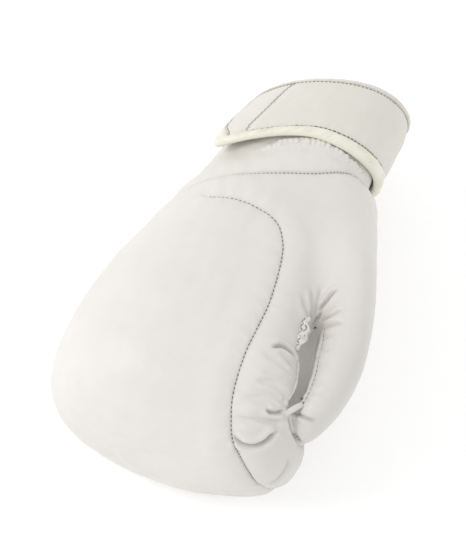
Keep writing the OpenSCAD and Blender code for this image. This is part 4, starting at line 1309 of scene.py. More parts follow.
def strap_stitches(name, path, closed=False, pitch=2.7, length=1.9, r=0.33, zig=0.0, mat=None, seed=3, zigpitch=None):
    """threads along a path of (length, width) points on the top of the strap"""
    g = np.random.default_rng(seed)
    path = np.asarray(path, float)
    s = np.concatenate([[0], np.cumsum(np.linalg.norm(np.diff(path, axis=0), axis=1))])
    t = np.arange(0.6, s[-1] - length, pitch)
    if zig:
        t = np.arange(0.6, s[-1] - pitch, pitch)

    def at(q):
        return np.stack([np.interp(q, s, path[:, k]) for k in (0, 1)], -1)

    def side(q):
        d = at(q + 0.3) - at(q - 0.3)
        d /= np.linalg.norm(d, axis=1, keepdims=True)
        return np.stack([-d[:, 1], d[:, 0]], -1)
    if zig:
        sg = np.where(np.arange(len(t)) % 2 == 0, 1, -1)[:, None]
        a2, b2 = at(t) + side(t) * zig * sg, at(t + pitch) - side(t + pitch) * zig * sg
        m = a2 * 0.5 + b2 * 0.5
        a2, b2 = m + (a2 - m) * 0.88, m + (b2 - m) * 0.88
    else:
        j = g.uniform(-0.1, 0.1, (len(t), 1))
        a2, b2 = at(t) + side(t) * j, at(t + length * g.uniform(0.92, 1.05, len(t))) + side(t + length) * j

    def up(q):
        q0 = q[:, 0], q[:, 1]
        p = strap_pos(q0[0], q0[1], strap_heights(*q0)[0])
        px_ = strap_pos(q0[0] + 0.4, q0[1], strap_heights(q0[0] + 0.4, q0[1])[0])
        py_ = strap_pos(q0[0], q0[1] + 0.4, strap_heights(q0[0], q0[1] + 0.4)[0])
        n = np.cross(px_ - p, py_ - p)
        n /= np.linalg.norm(n, axis=1, keepdims=True)
        o = strap_pos(q0[0], q0[1], strap_heights(*q0)[0] + 1.0) - p
        return p, np.where((n * o).sum(1, keepdims=True) < 0, -n, n)
    (pa, na), (pb, nb_) = up(a2), up(b2)
    nn = na + nb_
    pa, pb = pa + na * 0.12, pb + nb_ * 0.12
    mid_a = a_at((a2[:, 0] + b2[:, 0]) / 2)
    for k in range(3):
        m = np.digitize(mid_a, [CUT1, CUT2]) == k
        if m.any():
            V_, F_ = capsules(pa[m], pb[m], nn[m], r * g.uniform(0.9, 1.08, m.sum()), 0.35)
            ob = add_mesh("%s_%s" % (name, SEG[k]), W(V_), F_)
            finish_piece(ob, mat or THREAD, body=hinge_blend(k))


def offset_path(d_open, l0, l1, step=0.5):
    l = np.arange(l0, l1, step)
    return np.stack([l, inset(l) + d_open], -1)


# along the binding, round the slanted corner and on along the end and the opening edge
l = np.arange(5.0, LEN - 89, 0.5)
path = [np.stack([l, strap_width(l) - 8.5], -1)]
dist = 8.5 - 4.2 * smoothstep(7, 33, BOUND[:, 1])
off = BOUND + BN * dist[:, None]
off = off[(BOUND[:, 1] < 56) & (bound_dist(off[:, 0], off[:, 1]) > dist - 0.15)]
lo_ = LEN - off[:, 0]
path.append(np.stack([lo_, strap_width(lo_) - off[:, 1]], -1))
strap_stitches("stitches_binding", np.concatenate(path), seed=21, r=0.27)
l = np.arange(5.0, LEN - RC_END, 0.5)
edge = [np.stack([l, 0 * l + 4.3], -1)]
ph = np.linspace(-math.pi / 2, 0, 24)
rr = RC_END - 4.3
edge.append(np.stack([LEN - RC_END + rr * np.cos(ph), RC_END + rr * np.sin(ph)], -1))
edge.append(np.stack([np.full(10, LEN - 4.3), np.linspace(RC_END + 0.5, path[-1][-1, 1] - 1.5, 10)], -1))
strap_stitches("stitches_strap_edge", np.concatenate(edge), seed=22, r=0.27)
# zigzag joint across the strap
ws = float(strap_width(L_SEAM))
strap_stitches("stitches_joint", np.stack([np.full(60, L_SEAM), np.linspace(4.8, ws - 9.0, 60)], -1), pitch=1.7, zig=1.35, r=0.24, mat=THREAD_LIGHT, seed=23)
# box and cross at the sewn root
l0, l1, w0, w1 = 7.0, 25.0, 7.5, float(strap_width(16.0)) - 11.0
box_ = np.array([(l0, w0), (l1, w0), (l1, w1), (l0, w1), (l0, w0), (l1, w1)])
strap_stitches("stitches_root", box_, seed=24, pitch=2.6)
strap_stitches("stitches_root_cross", np.array([(l1, w0), (l0, w1)]), seed=25, pitch=2.6)

# ------------------------------------------------------------------ cuff
def tube_mesh(rings, closed_ring=True, closed_path=False):
    """quads between rings of points (n, m, 3); an open path leaves its ends open"""
    n, m = rings.shape[:2]
    V_ = rings.reshape(-1, 3)
    f = []
    ii_, jj_ = np.meshgrid(np.arange(n if closed_path else n - 1), np.arange(m if closed_ring else m - 1), indexing="ij")
    ii_, jj_ = ii_.ravel(), jj_.ravel()
    a = ii_ * m + jj_
    b = ((ii_ + 1) % n) * m + jj_
    c = ((ii_ + 1) % n) * m + (jj_ + 1) % m
    d = ii_ * m + (jj_ + 1) % m
    F_ = np.stack([a, b, c, d], 1)
    return V_, F_


def capped(rings):
    """closed tube whose first and last rings are drawn in to a point"""
    first, last = rings[0], rings[-1]
    c0, c1 = first.mean(0), last.mean(0)
    R_ = np.concatenate([(c0 + (first - c0) * 0.02)[None], (c0 + (first - c0) * 0.6)[None], rings, (c1 + (last - c1) * 0.6)[None], (c1 + (last - c1) * 0.02)[None]])
    return R_


A_S0, A_S1 = 10.0, 350.0
S_TOP = 1.035


def cuff_out(s, a):
    """height of the outer leather above the cuff cone"""
    P3 = np.stack([a * 0.8, s * 52, 0 * a], -1)
    edge = np.minimum(np.minimum(a - A_S0, A_S1 - a) * 0.78, 30)
    h = 0.25 + 0.55 * smoothstep(0.1, 0.3, s) * smoothstep(2, 10, edge) * (1 - smoothstep(0.93, 1.0, s))
    h = h + 0.28 * wave_noise(P3, 24, 61) + 0.16 * wave_noise(P3 * [1, 0.5, 1], 9, 62)
    # crosswise creases where the cuff bends
    h = h - 0.35 * np.exp(-(wave_noise(P3 * [0.35, 1.6, 1], 15, 63) / 0.2) ** 2) * smoothstep(0.15, 0.35, s)
    h = h - 0.5 * np.exp(-((s * 52 - 6.6) / 0.6) ** 2) - 0.45 * np.exp(-((edge - 4.2) / 0.6) ** 2)
    return h


# outer leather with its lining side: one closed slab with rounded slit edges
na, ns = 430, 46
aa = np.concatenate([A_S0 + np.array([0, 0.15, 0.45, 0.9, 1.5, 2.2]), np.linspace(A_S0 + 3, A_S1 - 3, na), A_S1 - np.array([2.2, 1.5, 0.9, 0.45, 0.15, 0])])
sv = np.linspace(0.045, S_TOP, ns)
AA, SS_ = np.meshgrid(aa, sv, indexing="ij")
edge = np.minimum(AA - A_S0, A_S1 - AA) * 0.78
q = np.sqrt(np.maximum(1 - (1 - np.minimum(edge / 2.0, 1)) ** 2, 0))
ho = cuff_out(SS_, AA)
mid_h = -2.2
outer_c = kp(SS_, AA, mid_h + (ho - mid_h) * q)
P3 = np.stack([AA * 0.8, SS_ * 52, 0 * AA], -1)
hin = -5.0 + 0.22 * wave_noise(P3, 12, 64) + 0.3 * wave_noise(P3, 26, 65)
inner_c = kp(SS_, AA, mid_h + (hin - mid_h) * q)
n1, n2 = AA.shape
CV = np.concatenate([outer_c.reshape(-1, 3), inner_c.reshape(-1, 3)])
fo = grid_faces(n1, n2)
fi = grid_faces(n1, n2, n1 * n2)[:, ::-1]
# close the two long ends
j0 = np.arange(n1 - 1) * n2
end0 = np.stack([j0, j0 + n1 * n2, j0 + n2 + n1 * n2, j0 + n2], 1)
j1 = j0 + n2 - 1
end1 = np.stack([j1, j1 + n2, j1 + n2 + n1 * n2, j1 + n1 * n2], 1)
CF = np.concatenate([fo, fi, end0, end1])
key = np.round(CV, 4)
_, first, inv = np.unique(key, axis=0, return_index=True, return_inverse=True)
CVw, CFw = CV[first], inv.ravel()[CF]
CFw = outward(CVw, CFw)
CN = normals(CVw, CFw)
av = np.concatenate([AA.ravel()] * 2)[first]
svv = np.concatenate([SS_.ravel()] * 2)[first]
is_in = np.concatenate([np.zeros(n1 * n2), np.ones(n1 * n2)])[first]
edgev = np.minimum(av - A_S0, A_S1 - av) * 0.78
face_in = np.zeros(len(CFw), bool)
face_in[len(fo):len(fo) + len(fi)] = True
ce = edge[:-1, :-1].ravel()
face_in[len(fo):len(fo) + len(fi)] &= ce > 4.2
cw = np.clip(0.7 * np.exp(-((svv * 52 - 6.6) / 0.7) ** 2) + 0.6 * np.exp(-((edgev - 4.2) / 0.7) ** 2), 0, 1) * (1 - is_in)
for nm_, m_, mt, sl_, hide in (("cuff_leather", ~face_in, LEATHER_CUFF, "cuff_shell", ("cuff_shell", "cuff_foam")), ("cuff_lining_cloth", face_in, LINING, "cuff_lining", ("cuff_lining",))):
    f = CFw[m_]
    u, inv = np.unique(f, return_inverse=True)
    ob = add_mesh(nm_, W(CVw[u]), inv.reshape(f.shape))
    finish_piece(ob, mt, N=CN[u], seam_grime_and_crease_shade=cw[u], cloth=np.stack([av[u] * 0.75, svv[u] * 52, 0 * av[u]], -1) / 1000, hide=hide)

# rolled binding round the opening: a closed fold over the edge
prof = []
for t_ in np.linspace(0, 1, 26):
    ang = math.pi * t_
    prof.append((-0.2 - 3.0 * math.sin(ang), -2.5 + 3.75 * math.cos(ang)))
leg = [(y, 1.25) for y in (6.2, 5.4, 4.2, 2.8, 1.4)]
out_p = [(6.5, 0.7)] + leg + prof + [(y, -6.25) for y in (1.4, 2.8, 4.2, 5.4, 6.2)] + [(6.5, -5.7)]
in_p = [(5.5, -5.0), (3.0, -4.6), (1.0, -4.4), (0.4, -2.5), (1.0, -0.6), (3.0, -0.4), (5.5, -0.2)]
pr = np.array(out_p + in_p)
ab = np.concatenate([[A_S0 - 1.2, A_S0 - 0.9, A_S0 - 0.3], np.linspace(A_S0 + 0.6, A_S1 - 0.6, 520), [A_S1 + 0.3, A_S1 + 0.9, A_S1 + 1.2]])
AB, KB = np.meshgrid(ab, np.arange(len(pr)), indexing="ij")
Y, O = pr[KB, 0], pr[KB, 1]
ctr_y, ctr_o = 2.0, -2.5
ln = AB * 0.78
arc = np.arange(len(pr))[None, :] * 0.9
P3 = np.stack([ln, arc + 0 * ln, 0 * ln], -1)
wr = 0.22 * np.sin(2 * math.pi * (ln * 0.9 + arc * 0.55) / 3.0 + 1.8 * wave_noise(P3, 10, 71)) * (0.6 + 0.5 * wave_noise(P3, 15, 72)) + 0.22 * wave_noise(P3, 9, 73)
outer_part = (np.arange(len(pr)) < len(out_p))[None, :] & (np.arange(len(pr)) > 0)[None, :] & (np.arange(len(pr)) < len(out_p) - 1)[None, :]
nrm_y, nrm_o = Y - ctr_y, O - ctr_o
nl = np.hypot(nrm_y, nrm_o)
nrm_y = np.where(Y > 0, 0, nrm_y / nl)
nrm_o = np.where(Y > 0, np.sign(nrm_o), nrm_o / nl)
shr = np.ones(len(ab))
shr[[0, -1]] = 0.1
shr[[1, -2]] = 0.72
shr[[2, -3]] = 0.93
Y2 = 2.4 + (Y + nrm_y * wr * outer_part - 2.4) * shr[:, None]
O2 = ctr_o + (O + nrm_o * wr * outer_part - ctr_o) * shr[:, None]
rings = kp(Y2 / 52.0, AB, O2)
V_, F_ = tube_mesh(rings)
F_ = outward(V_, F_)
N_ = normals(V_, F_)
ob = add_mesh("cuff_binding_roll", W(V_), F_)
wv_ = (np.exp(-((Y - 6.3) / 0.5) ** 2) * 0.7 * outer_part).ravel()
finish_piece(ob, BINDING, N=N_, seam_grime_and_crease_shade=wv_, hide=("cuff_edge_binding",))

# stretch gusset inside the slit, with fine ribs and soft folds
ga = np.linspace(-25, 25, 150)
gs = np.linspace(0.05, 1.0, 60)
GA, GS = np.meshgrid(ga, gs, indexing="ij")
P3 = np.stack([GA * 0.7, GS * 52, 0 * GA], -1)
rib = 0.13 * np.cos(2 * math.pi * GA * 0.7 / 1.5)
bulge = 0.9 * np.exp(-(GA / 9) ** 2) * np.sin(math.pi * np.clip(GS, 0, 1)) + 0.25 * wave_noise(P3 * [1, 0.5, 1], 9, 74)
g_top = kp(GS, GA, -5.15 + rib + bulge * np.exp(-(GA / 12) ** 2))
g_bot = kp(GS, GA, -6.35 + bulge * np.exp(-(GA / 12) ** 2))
n1, n2 = GA.shape
V_ = np.concatenate([g_top.reshape(-1, 3), g_bot.reshape(-1, 3)])
a = grid_faces(n1, n2)
b = grid_faces(n1, n2, n1 * n2)[:, ::-1]
m0 = n1 * n2
r0 = np.arange(n1 - 1) * n2
c0 = np.arange(n2 - 1)
sides = [np.stack([r0, r0 + m0, r0 + n2 + m0, r0 + n2], 1), np.stack([r0 + n2 - 1, r0 + 2 * n2 - 1, r0 + 2 * n2 - 1 + m0, r0 + n2 - 1 + m0], 1),
         np.stack([c0, c0 + 1, c0 + 1 + m0, c0 + m0], 1), np.stack([c0 + (n1 - 1) * n2, c0 + (n1 - 1) * n2 + m0, c0 + 1 + (n1 - 1) * n2 + m0, c0 + 1 + (n1 - 1) * n2], 1)]
F_ = outward(V_, np.concatenate([a, b] + sides))
ob = add_mesh("cuff_gusset_cloth", W(V_), F_)
finish_piece(ob, STRAP_LINING, cloth=np.concatenate([P3.reshape(-1, 3)] * 2) / 1000, hide=("cuff_gusset",))

# loop tape on the cuff, under the strap's free end
la, lb, sa, sb = 110.0, 180.0, 0.17, 0.85
pa_ = np.linspace(0, 1, 110)
pb_ = np.linspace(0, 1, 64)
LA, LB = np.meshgrid(la + (lb - la) * pa_, sa + (sb - sa) * pb_, indexing="ij")
ex = np.minimum(LA - la, lb - LA) * 0.8
ey = np.minimum(LB - sa, sb - LB) * 52
dd = np.maximum(corner(ex, ey, 4.0), 0)
q = np.sqrt(np.maximum(1 - (1 - np.minimum(dd / 0.7, 1)) ** 2, 0))
P3 = np.stack([LA * 0.8, LB * 52, 0 * LA], -1)
fz = np.random.default_rng(77).normal(size=LA.shape) * 0.05 + 0.10 * wave_noise(P3, 3.2, 75) + 0.06 * wave_noise(P3, 1.7, 76)
hb = cuff_out(LB, LA)
hh = hb + 0.05 + q * (0.95 + fz) - 0.35 * np.exp(-((dd - 2.6) / 0.4) ** 2)
ok = (corner(ex, ey, 4.0) >= 0)
Pt = kp(LB, LA, hh)
Pb = kp(LB, LA, hb - 0.4)
n1, n2 = LA.shape
f = grid_faces(n1, n2)
keep = ok[:-1, :-1].ravel() & ok[1:, 1:].ravel() & ok[1:, :-1].ravel() & ok[:-1, 1:].ravel()
f = f[keep]
ft, fb_ = f, f[:, ::-1] + n1 * n2
e = np.concatenate([f[:, [0, 1]], f[:, [1, 2]], f[:, [2, 3]], f[:, [3, 0]]])
U, inv, cnt = np.unique(np.sort(e, 1), axis=0, return_inverse=True, return_counts=True)
rim = e[cnt[inv.ravel()] == 1]
fr = np.stack([rim[:, 1], rim[:, 0], rim[:, 0] + n1 * n2, rim[:, 1] + n1 * n2], 1)
Fa = np.concatenate([ft, fb_, fr])
V_ = np.concatenate([Pt.reshape(-1, 3), Pb.reshape(-1, 3)])
u, inv = np.unique(Fa, return_inverse=True)
Vu, Fu = V_[u], inv.reshape(Fa.shape)
ob = add_mesh("loop_tape", W(Vu), outward(Vu, Fu))
finish_piece(ob, LOOP, hide=("loop_patch",))


def cone_stitches(name, path, hfun, pitch=2.7, length=1.9, r=0.33, mat=None, seed=31, inside=False):
    """threads along a path of (angle, share of the cuff length) points"""
    g = np.random.default_rng(seed)
    P_ = kp(path[:, 1], path[:, 0], hfun(path[:, 1], path[:, 0]))
    s = np.concatenate([[0], np.cumsum(np.linalg.norm(np.diff(P_, axis=0), axis=1))])
    t = np.arange(0.5, s[-1] - length, pitch)

    def at(q):
        a_ = np.interp(q, s, path[:, 0])
        s_ = np.interp(q, s, path[:, 1])
        p = kp(s_, a_, hfun(s_, a_))
        n = kp(s_, a_, hfun(s_, a_) + 1.0) - p
        return p, -n if inside else n
    (pa, na_), (pb, nb2) = at(t), at(t + length)
    V_, F_ = capsules(pa + 0.1 * na_, pb + 0.1 * nb2, na_ + nb2, r * g.uniform(0.9, 1.08, len(t)), 0.3)
    ob = add_mesh(name, W(V_), F_)
    return finish_piece(ob, mat or THREAD)


aa = np.linspace(A_S0 + 4, A_S1 - 4, 700)
cone_stitches("stitches_cuff_edge", np.stack([aa, np.full(len(aa), 6.75 / 52)], -1), cuff_out)
for k, a_ in enumerate((A_S0 + 5.4, A_S1 - 5.4)):
    ss_ = np.linspace(0.15, 0.97, 80)
    cone_stitches("stitches_slit_%d" % (k + 1), np.stack([np.full(80, a_), ss_], -1), cuff_out, seed=33 + k)
# round the loop tape
m = 2.6
co_ = [(la + (4 + 0) / 0.8, sa + m / 52), (lb - 4 / 0.8, sa + m / 52), (lb - m / 0.8, sa + 4.6 / 52), (lb - m / 0.8, sb - 4.6 / 52), (lb - 4 / 0.8, sb - m / 52), (la + 4 / 0.8, sb - m / 52), (la + m / 0.8, sb - 4.6 / 52), (la + m / 0.8, sa + 4.6 / 52), (la + 4 / 0.8, sa + m / 52)]
path = np.concatenate([np.linspace(co_[k], co_[k + 1], 60)[:-1] for k in range(len(co_) - 1)])
cone_stitches("stitches_loop_tape", path, lambda s, a: cuff_out(s, a) + 0.75, mat=THREAD_LIGHT, r=0.3, seed=36)

# ------------------------------------------------------------------ lining and grip bar
CAV = [
    [T0 - 6, 16.0, 41.0, 45.6, 45.6, 2.0], [T0, 16.0, 41.0, 45.6, 45.6, 2.0], [T0 + 9, 15.5, 40.0, 43.0, 43.0, 2.0], [T0 + 22, 13.0, 37.0, 43.0, 43.0, 2.1], [T0 + 38, 9.0, 33.0, 44.0, 44.0, 2.2],
    [T0 + 60, 4.0, 29.0, 45.0, 45.0, 2.3], [T0 + 86, -4.0, 29.0, 46.0, 46.0, 2.3], [T0 + 112, -8.0, 33.0, 46.0, 46.0, 2.3], [T0 + 132, -6.0, 37.0, 46.0, 46.0, 2.3],
    [T0 + 146, -1.0, 38.0, 45.0, 45.0, 2.3], [T0 + 156, 2.0, 35.0, 42.0, 42.0, 2.3], [T0 + 164, 4.0, 29.0, 36.0, 36.0, 2.2], [T0 + 169, 5.0, 20.0, 26.0, 26.0, 2.1],
    [T0 + 172, 5.0, 11.0, 14.0, 14.0, 2.0], [T0 + 173, 5.0, 0.5, 0.5, 0.5, 2.0]]
TSPACE = [
    [T0 + 30, 18.0, 4.0, 13.0, 13.0], [T0 + 54, 38.0, 20.0, 14.5, 15.0], [T0 + 78, 56.0, 33.0, 12.5, 16.0], [T0 + 106, 66.5, 41.0, 8.6, 16.5],
    [T0 + 130, 68.5, 43.0, 7.8, 16.0], [T0 + 148, 66.0, 42.5, 6.6, 13.5], [T0 + 159, 62.5, 41.5, 4.0, 7.0], [T0 + 163, 61.5, 41.0, 0.5, 0.6]]
H2 = 2.0
X2, T2, Z2 = np.arange(-50, 84, H2), np.arange(44, 232, H2), np.arange(-52, 66, H2)


def nd2(g):
    gx, gt, gz = np.gradient(g, H2)
    return g / np.clip(np.sqrt(gx * gx + gt * gt + gz * gz), 0.25, None)


R_ = by_t(CAV, T2)
x, z = X2[:, None, None], Z2[None, None, :]
cx, bx, wr, wu, n_ = [R_[:, k][None, :, None] for k in range(5)]
w = np.where(z > 0, wr, wu)
g1 = ((np.abs((x - cx) / bx) ** n_ + np.abs(z / w) ** n_ + 1e-9) ** (1 / n_) - 1) * np.minimum(bx, w)
g1 = nd2(np.maximum(g1, (T2 - (T0 + 173))[None, :, None]))
R_ = by_t(TSPACE, T2)
cx, cz, rx, rz = [R_[:, k][None, :, None] for k in range(4)]
g2 = (np.sqrt(((x - cx) / rx) ** 2 + ((z - cz) / rz) ** 2 + 1e-9) - 1) * np.minimum(rx, rz)
g2 = nd2(np.maximum(np.maximum(g2, (T2 - (T0 + 163))[None, :, None]), ((T0 + 31) - T2)[None, :, None]))
g3 = np.maximum(smooth_min(g1, g2, 4.0), (51.3 - T2)[None, :, None])
import openvdb as vdb
grid = vdb.FloatGrid(6.0)
grid.copyFromArray(np.ascontiguousarray(np.clip(g3, -6, 6).astype(np.float32)))
pts, quads = grid.convertToQuads(0.0)
pts, quads = np.asarray(pts, float), np.asarray(quads, int)
LV = np.stack([X2[0] + pts[:, 0] * H2, T2[0] + pts[:, 1] * H2, Z2[0] + pts[:, 2] * H2], -1)
LV = laplace(LV, edges_of(quads), 4, 0.5, -0.52)
quads = outward(LV, quads)
# once finer, then pleats and wrinkles of the cloth
me = bpy.data.meshes.new("tmp_lining")
me.from_pydata(LV.tolist(), [], quads.tolist())
tmp = bpy.data.objects.new("tmp_lining", me)
bpy.context.scene.collection.objects.link(tmp)
sub = tmp.modifiers.new("s", "SUBSURF")
sub.levels = sub.render_levels = 1
dg = bpy.context.evaluated_depsgraph_get()
ev = tmp.evaluated_get(dg).to_mesh()
LV = np.empty(len(ev.vertices) * 3)
ev.vertices.foreach_get("co", LV)
LV = LV.reshape(-1, 3)
LF = np.empty(len(ev.polygons) * 4, int)
ev.polygons.foreach_get("vertices", LF)
LF = LF.reshape(-1, 4)
bpy.data.objects.remove(tmp)
LN = normals(LV, LF)
fade = smoothstep(53, 60, LV[:, 1])
hL = (0.45 * wave_noise(LV, 20, 81) + 0.35 * wave_noise(LV * [1, 0.45, 1], 8, 82) - 0.5 * np.exp(-(wave_noise(LV, 26, 83) / 0.15) ** 2)) * fade
LV = LV + LN * (hL - 0.2)[:, None]
cf = LV[LF].mean(1)
keepf = cf[:, 1] > 52.2          # open at the wrist
LF = LF[keepf]
u, inv = np.unique(LF, return_inverse=True)
LV, LF = LV[u], inv.reshape(LF.shape)
LN = normals(LV, LF)
tri_ = np.concatenate([LF[:, [0, 1, 2]], LF[:, [0, 2, 3]]])
# the cloth is 1.2 mm thick; its shown side faces the hand
v2, f2, n2_ = thick(LV, tri_, LN, 1.0)
ang = np.arctan2(LV[:, 2], LV[:, 0] - 5.0)
cl = np.stack([ang * 38.0, LV[:, 1], 0 * ang], -1) / 1000
ob = add_mesh("hand_lining_cloth", W(v2), f2)
finish_piece(ob, LINING, N=n2_, cloth=np.concatenate([cl, cl]), hide=("lining_back", "lining_index_side", "lining_palm", "lining_little_side", "thumb_lining_outer", "thumb_lining_inner"))

# grip bar: a soft roll covered in leather, with a seam and pulled-in ends
u = np.linspace(0, 1, 90)
ph = np.linspace(0, 2 * math.pi, 49)[:-1]
U_, PH = np.meshgrid(u, ph, indexing="ij")
zz = -36.6 + 73.2 * U_
rad = 6.9 * (1 - 0.25 * np.abs(2 * U_ - 1) ** 10)
P3 = np.stack([zz, 7 * np.cos(PH), 7 * np.sin(PH)], -1)
rad = rad + 0.16 * wave_noise(P3, 9, 84) - 0.7 * np.exp(-((((PH - 3.3 + math.pi) % (2 * math.pi)) - math.pi) * 7 / 0.5) ** 2) + 0.1 * wave_noise(P3 * [2.2, 1, 1], 5, 85)
rings = np.stack([4 + rad * np.cos(PH), 174 + rad * np.sin(PH), zz], -1)
V_, F_ = tube_mesh(capped(rings))
F_ = outward(V_, F_)
ob = add_mesh("grip_bar_leather", W(V_), F_)
# the grip bar takes the darker copy of the white leather: painted shade
finish_piece(ob, LEATHER_PAINTED_SHADE, N=normals(V_, F_), hide=("grip_bar_sleeve", "grip_bar_core"))

# ------------------------------------------------------------------ flap, rolled hem and lock strip at the thumb gap
def spline(C, n):
    return catmull(C, np.linspace(0, len(C) - 1, n))


def soft_strip(rows_a, rows_b, thick_, crown, n=60, m=22, wave=0.3, seed=1, up=(-0.16, 0.394, 0.905)):
    """a padded strip between two edges, closed, with rounded edges and a soft crown"""
    A_, B_ = spline(np.array(rows_a, float), n), spline(np.array(rows_b, float), n)
    v = 0.5 - 0.5 * np.cos(np.linspace(0, math.pi, m))
    P_ = A_[:, None] * (1 - v)[None, :, None] + B_[:, None] * v[None, :, None]
    du, dv = np.gradient(P_, axis=0), np.gradient(P_, axis=1)
    nn = np.cross(du, dv)
    nn /= np.maximum(np.linalg.norm(nn, axis=2, keepdims=True), 1e-9)
    nn = np.where((nn @ np.array(up))[..., None] < 0, -nn, nn)
    nn = nn * 0.6 + np.array(up) * 0.4
    nn /= np.linalg.norm(nn, axis=2, keepdims=True)
    u = np.linspace(0, 1, n)
    ends = np.minimum(u, 1 - u) * n * 0.3
    q = np.sqrt(np.clip(np.minimum(4 * v * (1 - v) * 2.2, 1)[None] * np.minimum(ends / 1.2, 1)[:, None], 0, 1))
    wv = wave * (wave_noise(P_, 5.5, seed) * (0.4 + 0.9 * v)[None])
    topP = P_ + nn * (crown * np.sin(math.pi * v)[None] * np.minimum(ends / 3, 1)[:, None] + wv + 0.5 * thick_ * q)[..., None]
    botP = P_ + nn * (crown * np.sin(math.pi * v)[None] * np.minimum(ends / 3, 1)[:, None] + wv - 0.5 * thick_ * q)[..., None]
    V_ = np.concatenate([topP.reshape(-1, 3), botP.reshape(-1, 3)])
    F_ = np.concatenate([grid_faces(n, m), grid_faces(n, m, n * m)[:, ::-1]])
    _, first, inv = np.unique(np.round(V_, 4), axis=0, return_index=True, return_inverse=True)
    V_, F_ = V_[first], inv.ravel()[F_]
    F_ = F_[[len(set(f)) == 4 for f in F_.tolist()]]
    F_ = outward(V_, F_)
    return V_, F_, topP, nn


# the folded leaf of leather at the top of the gap, sewn down along its left side
FL = [(38.9, 160.6, 54.0), (38.3, 164.5, 55.2), (37.9, 169.0, 56.1), (37.8, 174.5, 56.8), (38.5, 178.9, 56.9), (39.6, 183.2, 56.8)]
FR = [(42.4, 159.6, 54.0), (42.9, 162.2, 55.6), (42.2, 164.6, 56.4), (43.4, 166.8, 56.9), (44.6, 169.4, 57.0), (43.6, 171.6, 57.4), (44.4, 174.0, 57.4), (43.6, 176.6, 57.6), (42.0, 179.2, 57.4), (41.6, 182.6, 57.0)]
fv, ff, ftop, fn = soft_strip(FL, FR, 1.6, 1.0, wave=0.75, seed=91)
ob = add_mesh("gap_flap_leather", W(fv), ff)
finish_piece(ob, LEATHER, N=normals(fv, ff))


def strip_threads(name, top_, nn, paths, r=0.24):
    """threads on a strip between (along, across) pairs, both 0 to 1"""
    n, m = top_.shape[:2]
    v = 0.5 - 0.5 * np.cos(np.linspace(0, math.pi, m))

    def at(A, u_, w_):
        i = np.clip(u_ * (n - 1), 0, n - 1.001)
        j = np.clip(np.interp(w_, v, np.arange(m)), 0, m - 1.001)
        i0, j0 = int(i), int(j)
        fi, fj = i - i0, j - j0
        return (A[i0, j0] * (1 - fi) + A[i0 + 1, j0] * fi) * (1 - fj) + (A[i0, j0 + 1] * (1 - fi) + A[i0 + 1, j0 + 1] * fi) * fj
    a_ = np.array([at(top_, p[0], p[1]) for p, _ in paths])
    b_ = np.array([at(top_, q_[0], q_[1]) for _, q_ in paths])
    k_ = np.array([at(nn, (p[0] + q_[0]) / 2, (p[1] + q_[1]) / 2) for p, q_ in paths])
    V_, F_ = capsules(a_ + k_ * 0.12, b_ + k_ * 0.12, k_, r, 0.25)
    o = add_mesh(name, W(V_), F_)
    return finish_piece(o, THREAD)


g = np.random.default_rng(92)
zz_ = []
for row, (w0, w1, u0, u1, du) in enumerate(((0.10, 0.30, 0.05, 0.97, 0.085), (0.44, 0.66, 0.30, 0.72, 0.11))):
    us = np.arange(u0, u1 - du, du)
    for k, u_ in enumerate(us):
        a_, b_ = (w0, w1) if k % 2 == 0 else (w1, w0)
        zz_.append(((u_ + g.uniform(-0.012, 0.012), a_ + g.uniform(-0.05, 0.05)), (u_ + du * 0.86, b_ + g.uniform(-0.05, 0.05))))
strip_threads("stitches_flap", ftop, fn, zz_, r=0.26)


def roll(name, C, rad, seed, mat=None, n=80, m=20, flat=0.8, wave=0.08, taper=0.25):
    """a thin rolled edge along points"""
    C_ = spline(np.array(C, float), n)
    T_ = np.gradient(C_, axis=0)
    T_ /= np.linalg.norm(T_, axis=1, keepdims=True)
    upv = np.array([-0.16, 0.394, 0.905])
    N1 = upv - (T_ @ upv)[:, None] * T_
    N1 /= np.linalg.norm(N1, axis=1, keepdims=True)
    S1 = np.cross(N1, T_)
    u = np.linspace(0, 1, n)
    e_ = 1 - (1 - np.minimum(np.minimum(u, 1 - u) / taper, 1)) ** 2 * 0.6
    ph = np.linspace(0, 2 * math.pi, m, endpoint=False)
    rr_ = rad * e_[:, None] * (1 + wave * np.stack([wave1(u * 40 + k, 5.0, seed) for k in np.linspace(0, 1, m)], 1))
    rings = C_[:, None] + rr_[..., None] * (np.cos(ph)[None, :, None] * N1[:, None] * flat + np.sin(ph)[None, :, None] * S1[:, None])
    V_, F_ = tube_mesh(capped(rings))
    F_ = outward(V_, F_)
    o = add_mesh(name, W(V_), F_)
    finish_piece(o, mat or LEATHER, N=normals(V_, F_))
    return o


roll("gap_hem_roll", [(39.9, 181.0, 56.3), (42.6, 186.3, 55.2), (44.6, 191.2, 54.8), (45.4, 196.6, 55.5), (46.0, 202.2, 56.2), (45.4, 207.2, 57.3), (44.4, 212.6, 58.2)], 0.85, 93)

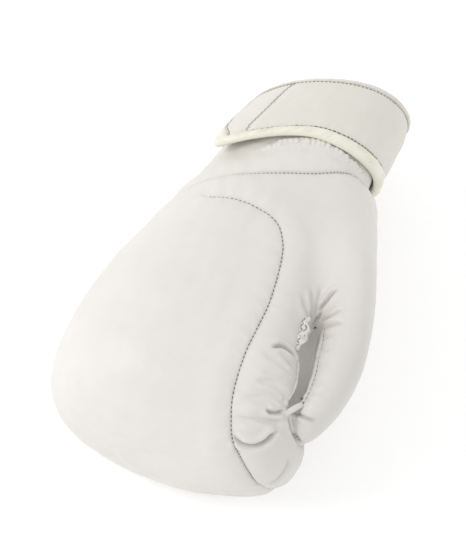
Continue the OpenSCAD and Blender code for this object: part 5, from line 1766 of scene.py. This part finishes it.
# lock strip that ties the thumb to the hand
LC = np.array([(44.4, 221.8, 56.4), (46.0, 219.6, 57.9), (48.0, 217.0, 58.8), (50.0, 214.6, 59.0), (51.7, 212.6, 58.5), (53.0, 211.0, 57.2)])
sidev = np.array([0.80, 0.60, 0.0])
LA_, LB_ = LC - sidev * 1.7 + [0, 0, 0.1], LC + sidev * 1.7 - [0, 0, 0.3]
lv_, lf_, ltop, ln_ = soft_strip(LA_, LB_, 1.6, 0.5, n=50, m=20, wave=0.10, seed=94)
ob = add_mesh("thumb_lock_leather", W(lv_), lf_)
finish_piece(ob, LEATHER, N=normals(lv_, lf_), hide=("thumb_lock_strip",))

# ------------------------------------------------------------------ studio
def studio():
    me = bpy.data.meshes.new("floor")
    s = 6.0
    me.from_pydata([(-s, -s, -0.0005), (s, -s, -0.0005), (s, s, -0.0005), (-s, s, -0.0005)], [], [(0, 1, 2, 3)])
    floor = bpy.data.objects.new("floor", me)
    bpy.context.scene.collection.objects.link(floor)
    m = bpy.data.materials.new("floor")
    m.use_nodes = True
    b = m.node_tree.nodes["Principled BSDF"]
    b.inputs["Base Color"].default_value = (0.97, 0.97, 0.97, 1)
    b.inputs["Roughness"].default_value = 0.9
    b.inputs["Emission Color"].default_value = (1, 1, 1, 1)
    b.inputs["Emission Strength"].default_value = 0.12
    me.materials.append(m)
    w = bpy.data.worlds.new("world")
    w.use_nodes = True
    w.node_tree.nodes["Background"].inputs[0].default_value = (1, 1, 1, 1)
    w.node_tree.nodes["Background"].inputs[1].default_value = 0.92
    bpy.context.scene.world = w

    def area(name, loc, at, size, power):
        L = bpy.data.lights.new(name, "AREA")
        L.shape = "RECTANGLE"
        L.size, L.size_y = size
        L.energy = power
        o = bpy.data.objects.new(name, L)
        bpy.context.scene.collection.objects.link(o)
        o.location = loc
        o.rotation_euler = (Vector(at) - Vector(loc)).to_track_quat("-Z", "Y").to_euler()
        return o

    area("key", (-1.2, -0.45, 0.98), (0, 0, 0.05), (0.7, 0.7), 7.0)
    area("fill", (1.2, 0.3, 1.0), (0, 0, 0.05), (1.2, 1.2), 1.0)
    s = bpy.context.scene
    s.view_settings.view_transform = "Standard"
    s.view_settings.look = "None"


studio()
